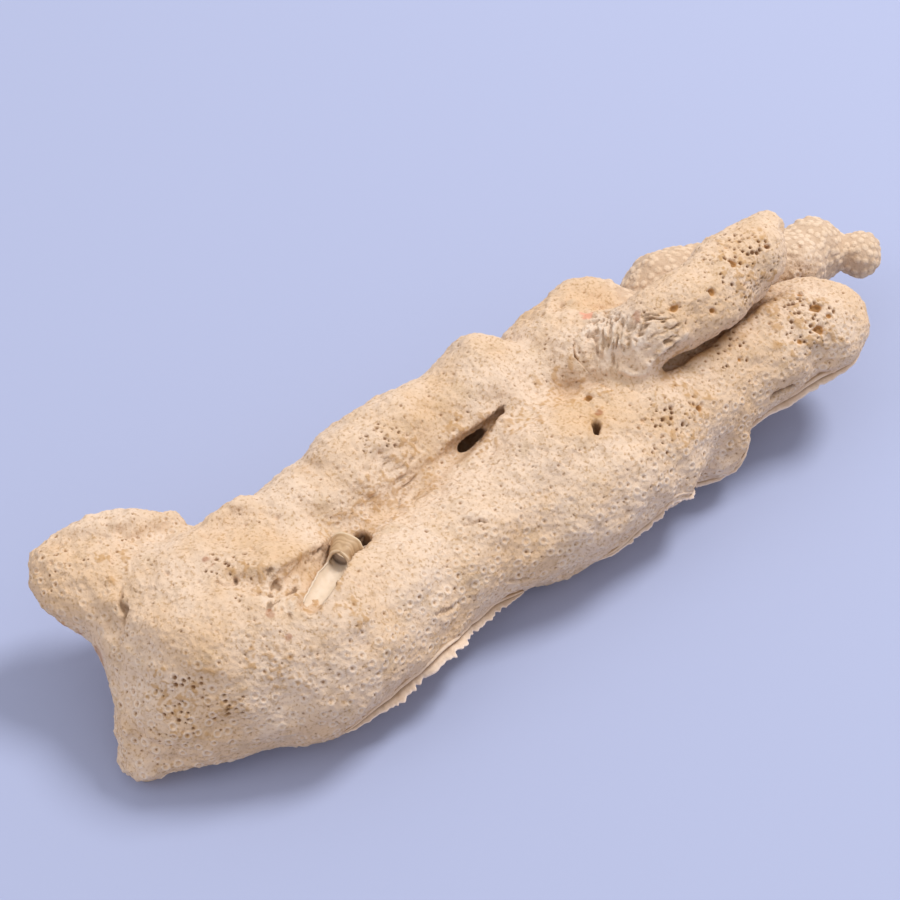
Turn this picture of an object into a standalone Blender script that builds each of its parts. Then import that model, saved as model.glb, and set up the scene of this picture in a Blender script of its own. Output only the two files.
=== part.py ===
"""A beach-worn branching coral skeleton, lying on the flat cut where it was broken from the reef.

A broad trunk at the -X end carries a short lobe and a blunt foot. Two columns grow from it side by
side along +X, fused except for the crevice between them. Past the middle they fork into a thick front
arm, a finger that lies over it, and a rear arm with two beaded knobs. +X is the length, +Y the rear,
+Z up. All sizes below are in millimetres, and the meshes are in metres.
"""
import math

import bmesh
import bpy
import numpy as np
from mathutils import Matrix, Vector

MM = 0.001
NAME = "coral_skeleton"

# The foot of the coral's box in the frame that the points below are given in. It becomes the origin,
# so the flat underside lies at Z = 0.
ORIGIN = (22.7, -3.4, 2.0)

# Each growth: height over width of its section, width of its blend into its neighbours, and the points
# that its middle line passes through, as (x, y, z, radius).
GROWTHS = {
    "base_trunk": (0.88, 8.0, [(-87, -9, 23, 21), (-76, -16, 24, 26), (-60, -23, 23, 27)]),
    "left_lobe": (0.85, 8.0, [(-82, 1, 28, 17), (-96, 8, 30, 15), (-104, 14, 32, 11), (-109, 21, 35, 7)]),
    "lobe_fin": (0.9, 3.5, [(-76, 17.5, 36.8, 3.3), (-83, 19.5, 38, 4.3), (-93, 22.5, 37.5, 4.8),
                            (-103, 25, 36, 4.8), (-109, 26.5, 34.5, 3.8)]),
    "foot_spur": (1.0, 7.0, [(-90, -17, 20, 17), (-98.5, -21, 19.5, 12), (-104, -22.5, 17, 8.5),
                             (-106.5, -25.5, 9, 6.5)]),
    "foot_ledge": (1.0, 7.0, [(-107.5, -27.5, 7, 4.8), (-98, -29.5, 11, 7.5), (-90, -30, 15, 9)]),
    "front_column": (0.95, 8.0, [(-62, -23, 22, 26), (-42, -24, 21, 22), (-19, -18, 22, 18.5),
                                 (5, -15, 21, 21), (32, -12, 22, 22)]),
    "front_arm": (0.9, 8.0, [(32, -12, 24, 23), (53, -8.5, 26.5, 21.5), (65, -6, 28.5, 18.5),
                             (76, -5, 28.5, 17.5), (96, -2.5, 29.5, 16), (111, -1.5, 31, 15.5),
                             (119.5, -3.5, 31, 14.8)]),
    "front_bulge": (1.0, 5.0, [(70.5, -15, 15, 8), (78.5, -17.5, 17, 7.8)]),
    "rear_column": (1.25, 8.0, [(-74, -3, 25, 14), (-53, 3.5, 24, 14.5), (-25, 9, 24, 17.8),
                                (1, 14, 25, 18), (25, 15, 25, 16.5), (40, 16, 26, 15)]),
    "column_swell": (1.0, 6.0, [(-25, 12, 37, 9), (-9, 15, 37.5, 10)]),
    "column_shoulder": (1.0, 4.0, [(-67, 8, 39, 4), (-60, 8.5, 40, 4.5)]),
    "middle_humps": (1.0, 8.0, [(22, 24, 39, 10), (33, 20, 36, 9.5), (46, 25, 37.2, 10.6),
                                (63, 28, 36, 10.2), (74, 18, 32, 13)]),
    "upper_finger": (1.0, 6.0, [(49, 10, 41, 10.5), (57, 7.5, 45.5, 10.5), (66, 4, 49.5, 10.5),
                                (83, 5, 53, 10.6), (103, 11, 54.5, 10.5), (112, 15.5, 56.5, 6.5)]),
    "broken_lump": (1.0, 4.0, [(53, 2, 45, 6.5), (58, -0.5, 46.5, 7.2)]),
    "under_knob": (1.0, 3.0, [(45, -4, 40.5, 4.5), (47, -6, 41, 4.8)]),
    "rear_arm": (1.0, 5.0, [(62, 23, 24, 9), (80, 26.5, 24.5, 9.5), (92, 33, 28, 10.9),
                            (113, 33, 25, 11.2), (131, 25, 24.5, 10)]),
    "knob_inner": (1.0, 3.0, [(142, 28.5, 24, 8.8), (143, 28.5, 24, 8.8)]),
    "knob_outer": (1.0, 3.0, [(154.5, 22, 22.5, 6.7), (155.5, 22, 22.5, 6.7)]),
}

# Hollows worn or grown into the surface: width of the rounded lip, and points as above.
HOLLOWS = {
    "crevice": (3.0, [(-74, -14, 48, 1.6), (-67, -21.5, 48, 3.2), (-58, -23, 46.5, 4.6),
                      (-49, -19, 43.5, 4.4), (-41, -15, 40, 3.6), (-33, -10.5, 38.8, 2.6),
                      (-16, -5, 39.2, 2.1), (-3, -1, 39.2, 1.9), (8, 2, 38.8, 2.3), (19, 4.5, 40.8, 1.3)]),
    "lobe_crease": (4.0, [(-71, 11.5, 42, 1.6), (-80.7, 13, 42.5, 2.2), (-89, 13, 43.5, 2.8),
                          (-95.5, 6, 45, 2.6), (-100, -3, 43, 2.4), (-105, -8, 37, 1.6)]),
    "burrow_bed": (1.5, [(-38.5, -13.5, 38.8, 4.5), (-42.5, -17, 39.5, 4.6), (-49, -22.5, 41.3, 4.4),
                         (-58.5, -30, 44.9, 3.5)]),
    "finger_undercut": (3.0, [(56, -10, 42, 1.8), (67, -4, 42.5, 2.5), (81, -1, 44, 3), (98, 4, 45, 3),
                              (112, 6, 46, 2.5)]),
}

# Gentle swells over the whole surface: wavelength, height and number of waves in each layer.
SWELLS = ((46.0, 0.7, 10), (22.0, 0.45, 14), (11.0, 0.2, 16))
SWELL_SEED = 3

# Planes at the main forks, as a point and the normal that points up the branch.
FORKS = {
    "trunk_end": ((-62, 0, 0), (1, -0.1, 0)),
    "lobe_fork": ((-90, 0, 0), (-0.5, 0.87, 0)),
    "foot_fork": ((-99, -23, 0), (-0.71, -0.71, 0)),
    "crevice": ((-17, -7.3, 0), (-0.30, 0.954, 0)),
    "columns_end": ((27, 0, 0), (1, 0, 0)),
    "arms_start": ((62, 0, 0), (1, 0, 0)),
    "arm_split": ((60, 13.5, 0), (0, 1, 0)),
    "finger_floor": ((50, 0, 40.2), (-0.15, 0.6, 1)),
    "finger_back": ((46, 14, 0), (-0.17, 0.985, 0)),
    "finger_end": ((46, 0, 0), (1, 0, 0)),
    "knob_fork": ((138, 27, 0), (0.97, 0.25, 0)),
    "knob_neck": ((150.2, 24.8, 0), (0.9, -0.42, 0)),
}

# Each branch lies past the forks marked +1 and before those marked -1.
BRANCHES = {
    "base_trunk": {"trunk_end": -1, "lobe_fork": -1, "foot_fork": -1},
    "left_lobe": {"trunk_end": -1, "lobe_fork": 1},
    "foot_spur": {"lobe_fork": -1, "foot_fork": 1},
    "front_column": {"trunk_end": 1, "columns_end": -1, "crevice": -1},
    "rear_column": {"trunk_end": 1, "columns_end": -1, "crevice": 1},
    "middle_junction": {"columns_end": 1, "arms_start": -1},
    "front_arm": {"arms_start": 1, "arm_split": -1},
    "rear_arm": {"arms_start": 1, "arm_split": 1, "knob_fork": -1},
    "upper_finger": {"finger_end": 1, "finger_back": -1, "finger_floor": 1},
    "beaded_knob_inner": {"knob_fork": 1, "knob_neck": -1, "arm_split": 1},
    "beaded_knob_outer": {"knob_neck": 1, "arm_split": 1},
}
UNDER_FINGER = ("middle_junction", "front_arm", "rear_arm")

# Holes that reach deep into the crevice and the middle: points as above.
DEEP_HOLES = {
    "burrow_mouth": [(-35, -14, 40, 2.4), (-33, -11, 34.5, 2.4), (-31, -9.5, 30, 2.0)],
    "long_hole": [(4, 1.5, 38, 2), (8.5, 3.2, 37, 2.5), (14, 4.2, 38.5, 1.6)],
    "long_hole_bottom": [(7.5, 3, 38, 2), (9, 3.5, 31, 1.6)],
    "round_hole": [(36.4, -16.6, 44.6, 1.15), (38, -13.6, 43.6, 1.2), (39.5, -11, 38, 1.3),
                   (41, -9, 34, 1.2)],
}

# Pits that worms and sponges bored from above: place in plan, and radius at the mouth.
BORED_PITS = [
    (-52, 2.2, 1.3), (-24.2, 11.6, 1.3), (-18.2, 6.5, 1.6), (-15.5, 5.8, 1), (92.9, 3.5, 1.4),
    (81.9, -2, 1.3), (105.1, 5, 1), (80.3, -5.5, 1.1), (69.6, -1.9, 1.4), (114.4, -0.9, 1),
    (116, -7.1, 1.5), (118.1, -10.4, 1), (113.5, -13.1, 1.6), (106.3, -13.7, 1), (86.7, -11.7, 1),
    (68, -20, 1.4), (-81.7, -5.1, 1.1), (-72.8, -13.9, 1.4), (-70.1, -18, 1.5), (-66.3, -26.8, 1.3),
    (-97, -3.3, 1.6), (-103.2, -23.7, 2), (-99, -34.4, 1.1), (-94.5, -38.9, 1.1), (-89.1, 14.9, 1.8),
    (41, -4.7, 1.4),
]
PIT_DEPTH = 3.0
PIT_SIDES = 7
PIT_TAPER = 0.55        # width of a pit's floor over that of its mouth
PIT_RISE = 1.0          # how far a drill stands out of its pit

# The calcified lining of a burrow, which lies in the crevice: middle line and radius outside.
LINING_ROUTE = [(-39.5, -14.5, 38.8, 3.9), (-42.5, -17, 39.5, 3.9), (-48.9, -22.5, 41.3, 3.8),
                (-57.8, -29.6, 44.6, 3.0)]
LINING_WALL = 0.8
BORE_PAST = 3.0         # how far the tube's bore runs on past its ends
BED_PAST = 2.0          # how far the bed that it lies in does
LINING_ARCH = (-42.5, -17.0, 39.5)      # the roof is whole from here to the inner end

# Thin crusts that grew over the lower front edge: points along each, just outside the flank.
CRUSTS = {
    "edge_crust_near": [(-59, -47, 5), (-51, -46, 6), (-40, -43, 7), (-30, -39, 7), (-21, -34, 9)],
    "edge_crust_middle": [(30, -31, 8), (45, -28, 9), (59, -23, 9), (69, -23, 9), (76, -23, 11)],
    "edge_crust_far": [(82, -21, 15), (90, -17, 18), (101, -15, 20), (115, -14, 22), (126, -15, 25)],
}
CRUST_THICKNESS = 1.4
CRUST_TOP = 0.6         # thickness along its upper edge, as a share of the whole
CRUST_LIP = 0.7         # thickness of the free edge
CRUST_DROOP = -0.35     # slope of the shelf outwards
CRUST_FLOOR = 0.4       # least height of the free edge over the floor
CRUST_HEIGHT = 5.0      # how far it clings to the flank above its free edge
CRUST_REACH = 2.6       # how far the free edge stands out, on average
CRUST_RAGGED = 1.2
CRUST_STEP = 2.5
CRUST_SEED = 8

GAP = 0.3               # between neighbouring pieces
CRUST_GAP = 0.5         # the flank is faceted, so a crust keeps a little more
BLANK_VOXEL = 2.2       # grain of the blank that the surface is settled on
FACE_BUDGET = 4400      # triangles of the whole blank before it is cut up
ROUTE_PARTS = 3         # straight parts between two points of a growth
REACH = 400.0           # half size of the blocks that cut at a fork
STEEPEST_CONE = 0.95    # most that a cone's radius grows over its length
BALL_SHARE = 0.995      # radius of the ball that rounds the end of a growth, over the growth's own
SLOPE_STEP = 0.3        # half the span over which the field's slope is measured
LONGEST_MOVE = 1.5      # most that a point is moved in one round of settling
MOVE_SHARE = 0.8        # share of the distance left that a round covers
FIRST_ROUNDS = 9
SECOND_ROUNDS = 5
CRUST_ROUNDS = 12
RELAX_ROUNDS = 3        # rounds of smoothing between the two settlings
CRUMB_WELD = 0.01       # points nearer than this are one
CORE_STEP = 0.1         # step of the search for the highest point of the coral
HIGHEST = 75.0          # above the whole coral
SHARP_ANGLE = 50.0      # degrees between faces from which an edge is drawn sharp

# Colours of the worn skeleton, the beaded rear growth, the crusts and the burrow lining.
BONE = (0.79, 0.66, 0.50)
BEADED = (0.76, 0.62, 0.49)
CRUST = (0.83, 0.73, 0.60)
LINING = (0.86, 0.78, 0.66)
COLOURS = {"rear_arm": BEADED, "beaded_knob_inner": BEADED, "beaded_knob_outer": BEADED}


def smooth_route(rows):
    """Points on a Catmull-Rom curve through the rows, so course and radius change gently."""
    if len(rows) < 3:
        return np.array(rows, float)
    q = np.array(rows, float)
    q = np.vstack([2 * q[0] - q[1], q, 2 * q[-1] - q[-2]])
    out = []
    for i in range(1, len(q) - 2):
        before, here, after, later = q[i - 1], q[i], q[i + 1], q[i + 2]
        for t in np.arange(ROUTE_PARTS) / ROUTE_PARTS:
            square = (2 * before - 5 * here + 4 * after - later) * t * t
            cube = (3 * here - before - 3 * after + later) * t ** 3
            out.append(0.5 * (2 * here + (after - before) * t + square + cube))
    out.append(q[-2])
    return np.array(out)


def cone_distance(p, start, end, height):
    """Distance from p to a round-ended cone, in space squeezed by the height ratio."""
    squeeze = np.array([1.0, 1.0, 1.0 / height])
    a, b = start[:3] * squeeze, end[:3] * squeeze
    length = np.linalg.norm(b - a)
    axis = (b - a) / length
    w = p * squeeze - a
    along = w @ axis
    across = np.sqrt(np.maximum((w * w).sum(1) - along * along, 0.0))
    slope = np.clip((end[3] - start[3]) / length, -STEEPEST_CONE, STEEPEST_CONE)
    foot = np.clip(along + across * slope / math.sqrt(1 - slope * slope), 0.0, length)
    return np.sqrt(across * across + (foot - along) ** 2) - (start[3] + slope * foot)


def route_distance(p, rows, height=1.0):
    """Distance from p to the chain of round-ended cones along a route."""
    route = smooth_route(rows)
    distances = [cone_distance(p, a, b, height) for a, b in zip(route, route[1:])]
    return np.minimum.reduce(distances)


def blend_min(a, b, width):
    """The smaller of two distances, rounded over where they meet."""
    h = np.clip(0.5 + 0.5 * (b - a) / width, 0.0, 1.0)
    return b + (a - b) * h - width * h * (1 - h)


def make_swells():
    """Seeded sine waves of random heading, summed into a gentle unevenness."""
    rng = np.random.default_rng(SWELL_SEED)
    layers = []
    for wavelength, height, count in SWELLS:
        heading = rng.normal(size=(count, 3))
        heading /= np.linalg.norm(heading, axis=1)[:, None]
        turns = heading * (2 * math.pi / wavelength) * rng.uniform(0.8, 1.25, (count, 1))
        layers.append((turns, rng.uniform(0, 6.28, count), height * math.sqrt(2.0 / count)))

    def swells(p):
        return sum((np.sin(p @ turns.T + phase) * height).sum(1) for turns, phase, height in layers)
    return swells


def coral_field(p, swells):
    """Distance to the coral's surface, negative inside: blended growths, swells, then hollows."""
    out = None
    for height, blend, rows in GROWTHS.values():
        d = route_distance(p, rows, height)
        out = d if out is None else blend_min(out, d, blend)
    out = out - swells(p)
    for lip, rows in HOLLOWS.values():
        out = -blend_min(-out, route_distance(p, rows), lip)
    return out


def field_slope(p, field):
    """Unit direction in which the distance grows fastest."""
    columns = [field(p + SLOPE_STEP * axis) - field(p - SLOPE_STEP * axis) for axis in np.eye(3)]
    slope = np.stack(columns, 1)
    return slope / (np.linalg.norm(slope, axis=1)[:, None] + 1e-9)


def settle(points, field, rounds):
    """Moves points along the field's slope until they lie on the coral's surface."""
    for _ in range(rounds):
        away = np.clip(field(points), -LONGEST_MOVE, LONGEST_MOVE)
        points = points - MOVE_SHARE * away[:, None] * field_slope(points, field)
    return points


def new_collection(name):
    collection = bpy.data.collections.new(name)
    bpy.context.scene.collection.children.link(collection)
    return collection


def add_object(name, mesh, collection):
    obj = bpy.data.objects.new(name, mesh)
    collection.objects.link(obj)
    return obj


def mesh_of(bm, name):
    mesh = bpy.data.meshes.new(name)
    bm.to_mesh(mesh)
    bm.free()
    return mesh


def evaluated_mesh(obj):
    """The object's mesh with its modifiers applied, and the object removed."""
    graph = bpy.context.evaluated_depsgraph_get()
    mesh = bpy.data.meshes.new_from_object(obj.evaluated_get(graph))
    mesh.transform(obj.matrix_world)
    bpy.data.objects.remove(obj)
    return mesh


def route_tube(rows, height, sides, balls):
    """A bevelled curve along a route, as a welded mesh, with a ball at each end if wanted."""
    route = smooth_route(rows)
    curve = bpy.data.curves.new("route", "CURVE")
    curve.dimensions = "3D"
    curve.bevel_depth = 1.0
    curve.bevel_resolution = sides
    curve.use_fill_caps = True
    spline = curve.splines.new("POLY")
    spline.points.add(len(route) - 1)
    for point, (x, y, z, radius) in zip(spline.points, route):
        point.co = (x, y, z / height, 1.0)
        point.radius = radius
    obj = add_object("route", curve, bpy.context.scene.collection)
    mesh = evaluated_mesh(obj)
    bpy.data.curves.remove(curve)
    bm = bmesh.new()
    bm.from_mesh(mesh)
    bpy.data.meshes.remove(mesh)
    bmesh.ops.remove_doubles(bm, verts=bm.verts, dist=0.001)
    for x, y, z, radius in (route[0], route[-1]) if balls else ():
        place = Matrix.Translation((x, y, z / height))
        bmesh.ops.create_icosphere(bm, subdivisions=2, radius=radius * BALL_SHARE, matrix=place)
    bmesh.ops.scale(bm, vec=(1.0, 1.0, height), verts=bm.verts)
    return bm


def fuse(blank):
    """Adds a voxel remesh, which makes one closed skin without folds."""
    remesh = blank.modifiers.new("fuse", "REMESH")
    remesh.mode = "VOXEL"
    remesh.voxel_size = BLANK_VOXEL


def settled(mesh, field, rounds):
    """The mesh with its points moved onto the coral's surface."""
    flat = np.empty(len(mesh.vertices) * 3)
    mesh.vertices.foreach_get("co", flat)
    points = settle(flat.reshape(-1, 3), field, rounds)
    mesh.vertices.foreach_set("co", points.ravel())
    return mesh


def make_blank(field):
    """One closed body: the growths fused by a voxel remesh and settled on the coral's surface."""
    whole = bmesh.new()
    for height, _, rows in GROWTHS.values():
        mesh = mesh_of(route_tube(rows, height, 4, True), "growth")
        whole.from_mesh(mesh)
        bpy.data.meshes.remove(mesh)
    scene = bpy.context.scene.collection
    blank = add_object("blank", mesh_of(whole, "blank"), scene)
    fuse(blank)
    blank = add_object("blank", settled(evaluated_mesh(blank), field, FIRST_ROUNDS), scene)
    relax = blank.modifiers.new("relax", "SMOOTH")
    relax.factor = 0.5
    relax.iterations = RELAX_ROUNDS
    blank = add_object("blank", settled(evaluated_mesh(blank), field, SECOND_ROUNDS), scene)
    fuse(blank)
    mesh = evaluated_mesh(blank)
    blank = add_object("blank", mesh, scene)
    decimate = blank.modifiers.new("fewer_faces", "DECIMATE")
    decimate.ratio = FACE_BUDGET / (2.0 * len(mesh.polygons))
    return evaluated_mesh(blank)


def block(planes, inset):
    """A large block cut down by planes. It keeps what lies before each plane, less the inset."""
    bm = bmesh.new()
    bmesh.ops.create_cube(bm, size=2 * REACH)
    for point, normal in planes:
        n = Vector(normal).normalized()
        plane_point = Vector(point) - n * inset
        geometry = bm.verts[:] + bm.edges[:] + bm.faces[:]
        cut = bmesh.ops.bisect_plane(bm, geom=geometry, plane_co=plane_point, plane_no=n, clear_outer=True)
        rim = [e for e in cut["geom_cut"] if isinstance(e, bmesh.types.BMEdge)]
        bmesh.ops.contextual_create(bm, geom=rim)
    bmesh.ops.recalc_face_normals(bm, faces=bm.faces)
    return bm


def fork_planes(sides):
    """The planes of a branch, each turned so that the branch lies before it."""
    planes = []
    for fork, side in sides.items():
        point, normal = FORKS[fork]
        planes.append((point, tuple(-side * value for value in normal)))
    return planes


def add_cutter(name, bm, cutters):
    cutter = add_object(name, mesh_of(bm, name), cutters)
    cutter.hide_render = True
    cutter.display_type = "WIRE"
    return cutter


def cut(obj, cutter, operation):
    modifier = obj.modifiers.new(cutter.name, "BOOLEAN")
    modifier.operation = operation
    modifier.solver = "EXACT"
    modifier.object = cutter


def hole_tool(rows):
    """A tapered round cutter along a route."""
    return route_tube(rows, 1.0, 1, False)


def surface_below(x, y, field):
    """The highest point of the coral at a place in plan."""
    heights = np.arange(0.0, HIGHEST, CORE_STEP)
    column = np.stack([np.full(len(heights), x), np.full(len(heights), y), heights], 1)
    inside = np.nonzero(field(column) < 0)[0]
    return column[inside[-1]]


def pit_tools(field):
    """Tapered drills, one for each bored pit, square to the surface."""
    bm = bmesh.new()
    for x, y, radius in BORED_PITS:
        mouth = surface_below(x, y, field)
        outward = Vector(field_slope(mouth[None], field)[0])
        turn = outward.to_track_quat("Z", "Y").to_matrix().to_4x4()
        middle = Vector(mouth) - outward * (PIT_DEPTH - PIT_RISE) / 2
        place = Matrix.Translation(middle) @ turn
        bmesh.ops.create_cone(bm, cap_ends=True, segments=PIT_SIDES, radius1=PIT_TAPER * radius,
                              radius2=radius, depth=PIT_DEPTH + PIT_RISE, matrix=place)
    return bm


def largest_piece(mesh):
    """Keeps the largest closed body of a mesh, without the crumbs that a cut can leave."""
    bm = bmesh.new()
    bm.from_mesh(mesh)
    bpy.data.meshes.remove(mesh)
    bmesh.ops.remove_doubles(bm, verts=bm.verts, dist=CRUMB_WELD)
    groups = []
    left = set(bm.verts)
    while left:
        group = [left.pop()]
        for vert in group:
            near = [edge.other_vert(vert) for edge in vert.link_edges]
            near = [v for v in near if v in left]
            left.difference_update(near)
            group.extend(near)
        groups.append(group)
    groups.sort(key=len, reverse=True)
    crumbs = [vert for group in groups[1:] for vert in group]
    bmesh.ops.delete(bm, geom=crumbs, context="VERTS")
    bmesh.ops.triangulate(bm, faces=bm.faces)
    return mesh_of(bm, "piece")


def crust_mesh(points, field, rng):
    """A thin ragged shelf that clings to the flank, lofted along its route from section to section."""
    route = smooth_route([(x, y, z, 1.0) for x, y, z in points])[:, :3]
    lengths = np.concatenate([[0.0], np.cumsum(np.linalg.norm(np.diff(route, axis=0), axis=1))])
    count = max(2, round(lengths[-1] / CRUST_STEP))
    at = np.linspace(0.0, lengths[-1], count + 1)
    line = np.stack([np.interp(at, lengths, route[:, axis]) for axis in range(3)], 1)

    def beside(p):
        return settle(p, lambda q: field(q) - CRUST_GAP, CRUST_ROUNDS)
    low = beside(line)
    middle = beside(low + np.array([0.0, 0.0, CRUST_HEIGHT / 2]))
    high = beside(middle + np.array([0.0, 0.0, CRUST_HEIGHT / 2]))
    outward = field_slope(middle, field)
    outward[:, 2] = CRUST_DROOP
    outward /= np.linalg.norm(outward, axis=1)[:, None]
    fade = np.sin(np.pi * np.clip((np.arange(count + 1) + 0.6) / (count + 1.2), 0, 1)) ** 0.5
    reach = (CRUST_REACH + CRUST_RAGGED * rng.uniform(-1, 1, count + 1)) * fade
    edge = low + outward * reach[:, None]
    edge[:, 2] = np.maximum(edge[:, 2], ORIGIN[2] + CRUST_FLOOR)
    edge_top = edge + np.array([0.0, 0.0, CRUST_LIP])
    top = high + field_slope(high, field) * CRUST_THICKNESS * CRUST_TOP
    shoulder = middle + field_slope(middle, field) * CRUST_THICKNESS
    sections = np.stack([high, middle, low, edge, edge_top, shoulder, top], 1)
    bm = bmesh.new()
    rings = [[bm.verts.new(point) for point in section] for section in sections]
    for ring, following in zip(rings, rings[1:]):
        for i in range(len(ring)):
            j = (i + 1) % len(ring)
            bm.faces.new((ring[i], ring[j], following[j], following[i]))
    bm.faces.new(rings[0])
    bm.faces.new(rings[-1])
    bmesh.ops.recalc_face_normals(bm, faces=bm.faces)
    bmesh.ops.triangulate(bm, faces=bm.faces)
    return mesh_of(bm, "crust")


def lengthened(rows, extra):
    """A route that runs on past both of its ends."""
    rows = np.array(rows, float)
    for end, inner in ((0, 1), (-1, -2)):
        away = rows[end, :3] - rows[inner, :3]
        rows[end, :3] += away / np.linalg.norm(away) * extra
    return rows


def lining_mesh(cutters):
    """A tube along the burrow. Its roof has broken away except for an arch at the inner end."""
    rows = np.array(LINING_ROUTE)
    outer = add_object("lining", mesh_of(route_tube(LINING_ROUTE, 1.0, 3, False), "lining"), cutters)
    heading = rows[-1, :3] - rows[0, :3]
    heading /= np.linalg.norm(heading)
    bore = lengthened(LINING_ROUTE, BORE_PAST)
    bore[:, 3] -= LINING_WALL
    cut(outer, add_cutter("lining_bore", route_tube(bore, 1.0, 3, False), cutters), "DIFFERENCE")
    up = np.array([0.0, 0.0, 1.0]) - heading[2] * heading
    roof = block([(tuple(rows[1, :3]), tuple(-up)), (LINING_ARCH, tuple(-heading))], 0.0)
    cut(outer, add_cutter("lining_roof", roof, cutters), "DIFFERENCE")
    return largest_piece(evaluated_mesh(outer))


def finish(name, mesh, colour, collection):
    """Puts a piece at its place in metres, with its own material."""
    mesh.transform(Matrix.Scale(MM, 4) @ Matrix.Translation(-Vector(ORIGIN)))
    mesh.name = name
    mesh.shade_smooth()
    mesh.set_sharp_from_angle(angle=math.radians(SHARP_ANGLE))
    material = bpy.data.materials.new(name)
    material.use_nodes = True
    shader = material.node_tree.nodes["Principled BSDF"]
    shader.inputs["Base Color"].default_value = (*colour, 1.0)
    shader.inputs["Roughness"].default_value = 0.9
    shader.inputs["Metallic"].default_value = 0.0
    mesh.materials.clear()
    mesh.materials.append(material)
    add_object(name, mesh, collection)


def make_branches(field, coral, cutters):
    """Cuts the blank flat below, drills it, and saws it apart at the forks."""
    whole = add_object("blank", make_blank(field), cutters)
    ground = block([((0, 0, ORIGIN[2]), (0, 0, 1))], 0.0)
    cut(whole, add_cutter("ground", ground, cutters), "DIFFERENCE")
    cut(whole, add_cutter("bored_pits", pit_tools(field), cutters), "DIFFERENCE")
    for name, rows in DEEP_HOLES.items():
        cut(whole, add_cutter(name, hole_tool(rows), cutters), "DIFFERENCE")
    bed = lengthened(LINING_ROUTE, BED_PAST)
    bed[:, 3] += GAP
    cut(whole, add_cutter("lining_bed", route_tube(bed, 1.0, 3, False), cutters), "DIFFERENCE")
    mesh = evaluated_mesh(whole)
    wedge = block(fork_planes(BRANCHES["upper_finger"]), -GAP / 2)
    wedge = add_cutter("finger_wedge", wedge, cutters)
    for name, sides in BRANCHES.items():
        branch = add_object(name, mesh.copy(), cutters)
        saw = add_cutter("saw_" + name, block(fork_planes(sides), GAP / 2), cutters)
        cut(branch, saw, "INTERSECT")
        if name in UNDER_FINGER:
            cut(branch, wedge, "DIFFERENCE")
        piece = largest_piece(evaluated_mesh(branch))
        finish(name, piece, COLOURS.get(name, BONE), coral)
    bpy.data.meshes.remove(mesh)


def main():
    for obj in list(bpy.data.objects):
        bpy.data.objects.remove(obj)
    coral = new_collection(NAME)
    cutters = new_collection("cutters")
    swells = make_swells()

    def field(p):
        return coral_field(p, swells)
    make_branches(field, coral, cutters)
    rng = np.random.default_rng(CRUST_SEED)
    for name, points in CRUSTS.items():
        finish(name, crust_mesh(points, field, rng), CRUST, coral)
    finish("burrow_lining", lining_mesh(cutters), LINING, coral)


main()
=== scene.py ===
"""Looks of a worn branching coral skeleton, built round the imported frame.

The smooth form is the one that the part's source cuts its solids from: chains of round cones blended
together, less a few hollows. Each branch is a closed surface of two parameters, one along the branch and
one round it. Rays from the middle of the branch find the form, and cups, borings, beads and grain are
then raised or sunk along its normals. Lengths are in millimetres until a mesh is made.
"""

import math

import bpy
import numpy as np
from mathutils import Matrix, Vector, kdtree


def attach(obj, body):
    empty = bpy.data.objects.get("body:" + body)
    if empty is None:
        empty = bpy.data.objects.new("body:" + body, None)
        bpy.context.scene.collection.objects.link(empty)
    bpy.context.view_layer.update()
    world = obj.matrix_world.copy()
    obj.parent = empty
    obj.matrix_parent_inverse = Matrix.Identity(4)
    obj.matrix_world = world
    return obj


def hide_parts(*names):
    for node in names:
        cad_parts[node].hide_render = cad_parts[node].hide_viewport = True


bl_info = {
    "name": "Coral Skeleton",
    "version": (1, 0, 0),
    "blender": (4, 5, 0),
    "location": "3D View > Sidebar > Coral",
    "description": "A worn branching coral skeleton with cups, borings, beads and thin edge crusts",
    "category": "Add Mesh",
}

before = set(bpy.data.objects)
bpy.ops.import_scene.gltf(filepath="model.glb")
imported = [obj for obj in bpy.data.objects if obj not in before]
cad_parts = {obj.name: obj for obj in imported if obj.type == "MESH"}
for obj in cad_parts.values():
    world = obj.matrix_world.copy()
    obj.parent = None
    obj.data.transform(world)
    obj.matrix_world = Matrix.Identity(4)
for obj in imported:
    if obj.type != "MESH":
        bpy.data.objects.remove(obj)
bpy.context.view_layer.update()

MM = 0.001
BODY = "root"
BAKE_MAP = "OFBake"

# The point of the growth frame, in which the values below are given, that the model has its origin at.
ORIGIN = (22.7, -3.4, 2.0)

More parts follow.
